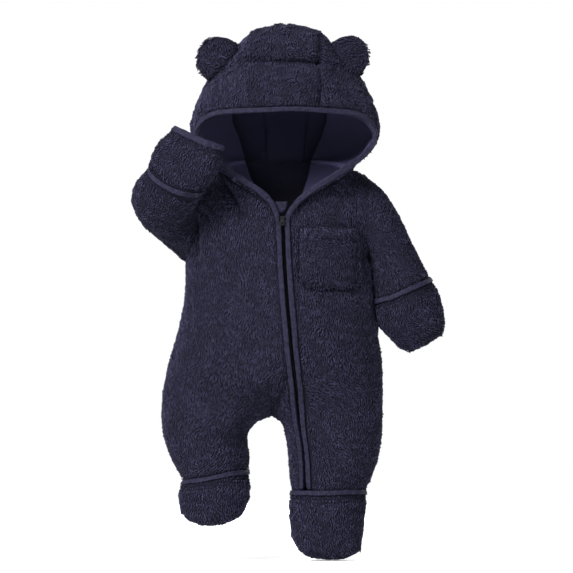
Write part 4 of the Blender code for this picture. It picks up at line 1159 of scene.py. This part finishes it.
class ONESIE_OT_stage(bpy.types.Operator):
    """Makes the floor, the camera and the lights"""

    bl_idname = "onesie.stage"
    bl_label = "Stage"

    def execute(self, context):
        stage = context.scene.onesie_stage
        low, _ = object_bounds()
        around = 96
        ring = [
            (FLOOR_RADIUS * math.cos(2 * math.pi * at / around),
             FLOOR_RADIUS * math.sin(2 * math.pi * at / around), low.z - 1 * MM)
            for at in range(around)]
        floor = mesh_object("floor", [(0, 0, low.z - 1 * MM), *ring],
                            [(0, 1 + at, 1 + (at + 1) % around) for at in range(around)])
        material, tree = new_material("matt_white_paper")
        finish_material(tree, {}, {"Base Color": full(stage.floor), "Roughness": 0.9})
        floor.data.materials.append(material)
        floor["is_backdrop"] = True

        camera = bpy.data.objects.new("camera", bpy.data.cameras.new("camera"))
        context.scene.collection.objects.link(camera)
        aim = Vector(AIM)
        camera.location = aim + Vector((0, -stage.distance, 0))
        camera.rotation_euler = (math.pi / 2, 0, 0)
        camera.data.sensor_width = 36
        camera.data.lens = 36 * stage.distance / stage.view_width
        context.scene.camera = camera

        for name, spot, size, share in LIGHTS:
            lamp = bpy.data.lights.new(name, "AREA")
            lamp.energy = stage.key_power * share
            lamp.size = size
            light = bpy.data.objects.new(name, lamp)
            light.location = spot
            light.rotation_euler = (aim - light.location).to_track_quat("-Z", "Y").to_euler()
            context.scene.collection.objects.link(light)

        world = bpy.data.worlds.new("studio")
        world.use_nodes = True
        tree = world.node_tree
        tree.nodes.clear()
        seen = add(tree, "ShaderNodeBackground", values={"Color": (1, 1, 1, 1), "Strength": 1.0})
        light = add(
            tree, "ShaderNodeBackground", values={"Color": (1, 1, 1, 1), "Strength": stage.sky})
        ray = add(tree, "ShaderNodeLightPath")
        both = add(
            tree, "ShaderNodeMixShader",
            links={0: ray.outputs["Is Camera Ray"], 1: light.outputs[0], 2: seen.outputs[0]})
        add(tree, "ShaderNodeOutputWorld", links={"Surface": both.outputs[0]})
        context.scene.world = world
        context.scene.view_settings.view_transform = "Standard"
        return {"FINISHED"}


class ONESIE_PT_build(bpy.types.Panel):
    """Lists the steps of the build"""

    bl_label = "Hooded fleece onesie"
    bl_idname = "ONESIE_PT_build"
    bl_space_type = "VIEW_3D"
    bl_region_type = "UI"
    bl_category = "Onesie"

    def draw(self, context):
        for step in STEPS:
            self.layout.operator(step.bl_idname, text=step.bl_label)
        for group in (getattr(context.scene, name) for name in GROUPS):
            box = self.layout.box()
            for name in group.__annotations__:
                box.prop(group, name)


STEPS = (
    ONESIE_OT_bindings, ONESIE_OT_zip, ONESIE_OT_panels, ONESIE_OT_ears, ONESIE_OT_stage)
GROUPS = {
    "onesie_plush": OnesiePlush,
    "onesie_trim": OnesieTrim,
    "onesie_stage": OnesieStage,
}


def register():
    for group in GROUPS.values():
        bpy.utils.register_class(group)
    for step in (*STEPS, ONESIE_PT_build):
        bpy.utils.register_class(step)
    for name, group in GROUPS.items():
        setattr(bpy.types.Scene, name, PointerProperty(type=group))


def unregister():
    for name in GROUPS:
        delattr(bpy.types.Scene, name)
    for step in (ONESIE_PT_build, *reversed(STEPS)):
        bpy.utils.unregister_class(step)
    for group in GROUPS.values():
        bpy.utils.unregister_class(group)


def main():
    """Builds everything."""
    register()
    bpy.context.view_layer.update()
    bpy.ops.onesie.bindings()
    bpy.ops.onesie.zip()
    bpy.ops.onesie.panels()
    bpy.ops.onesie.ears()
    bpy.ops.onesie.stage()


if __name__ == "__main__":
    main()
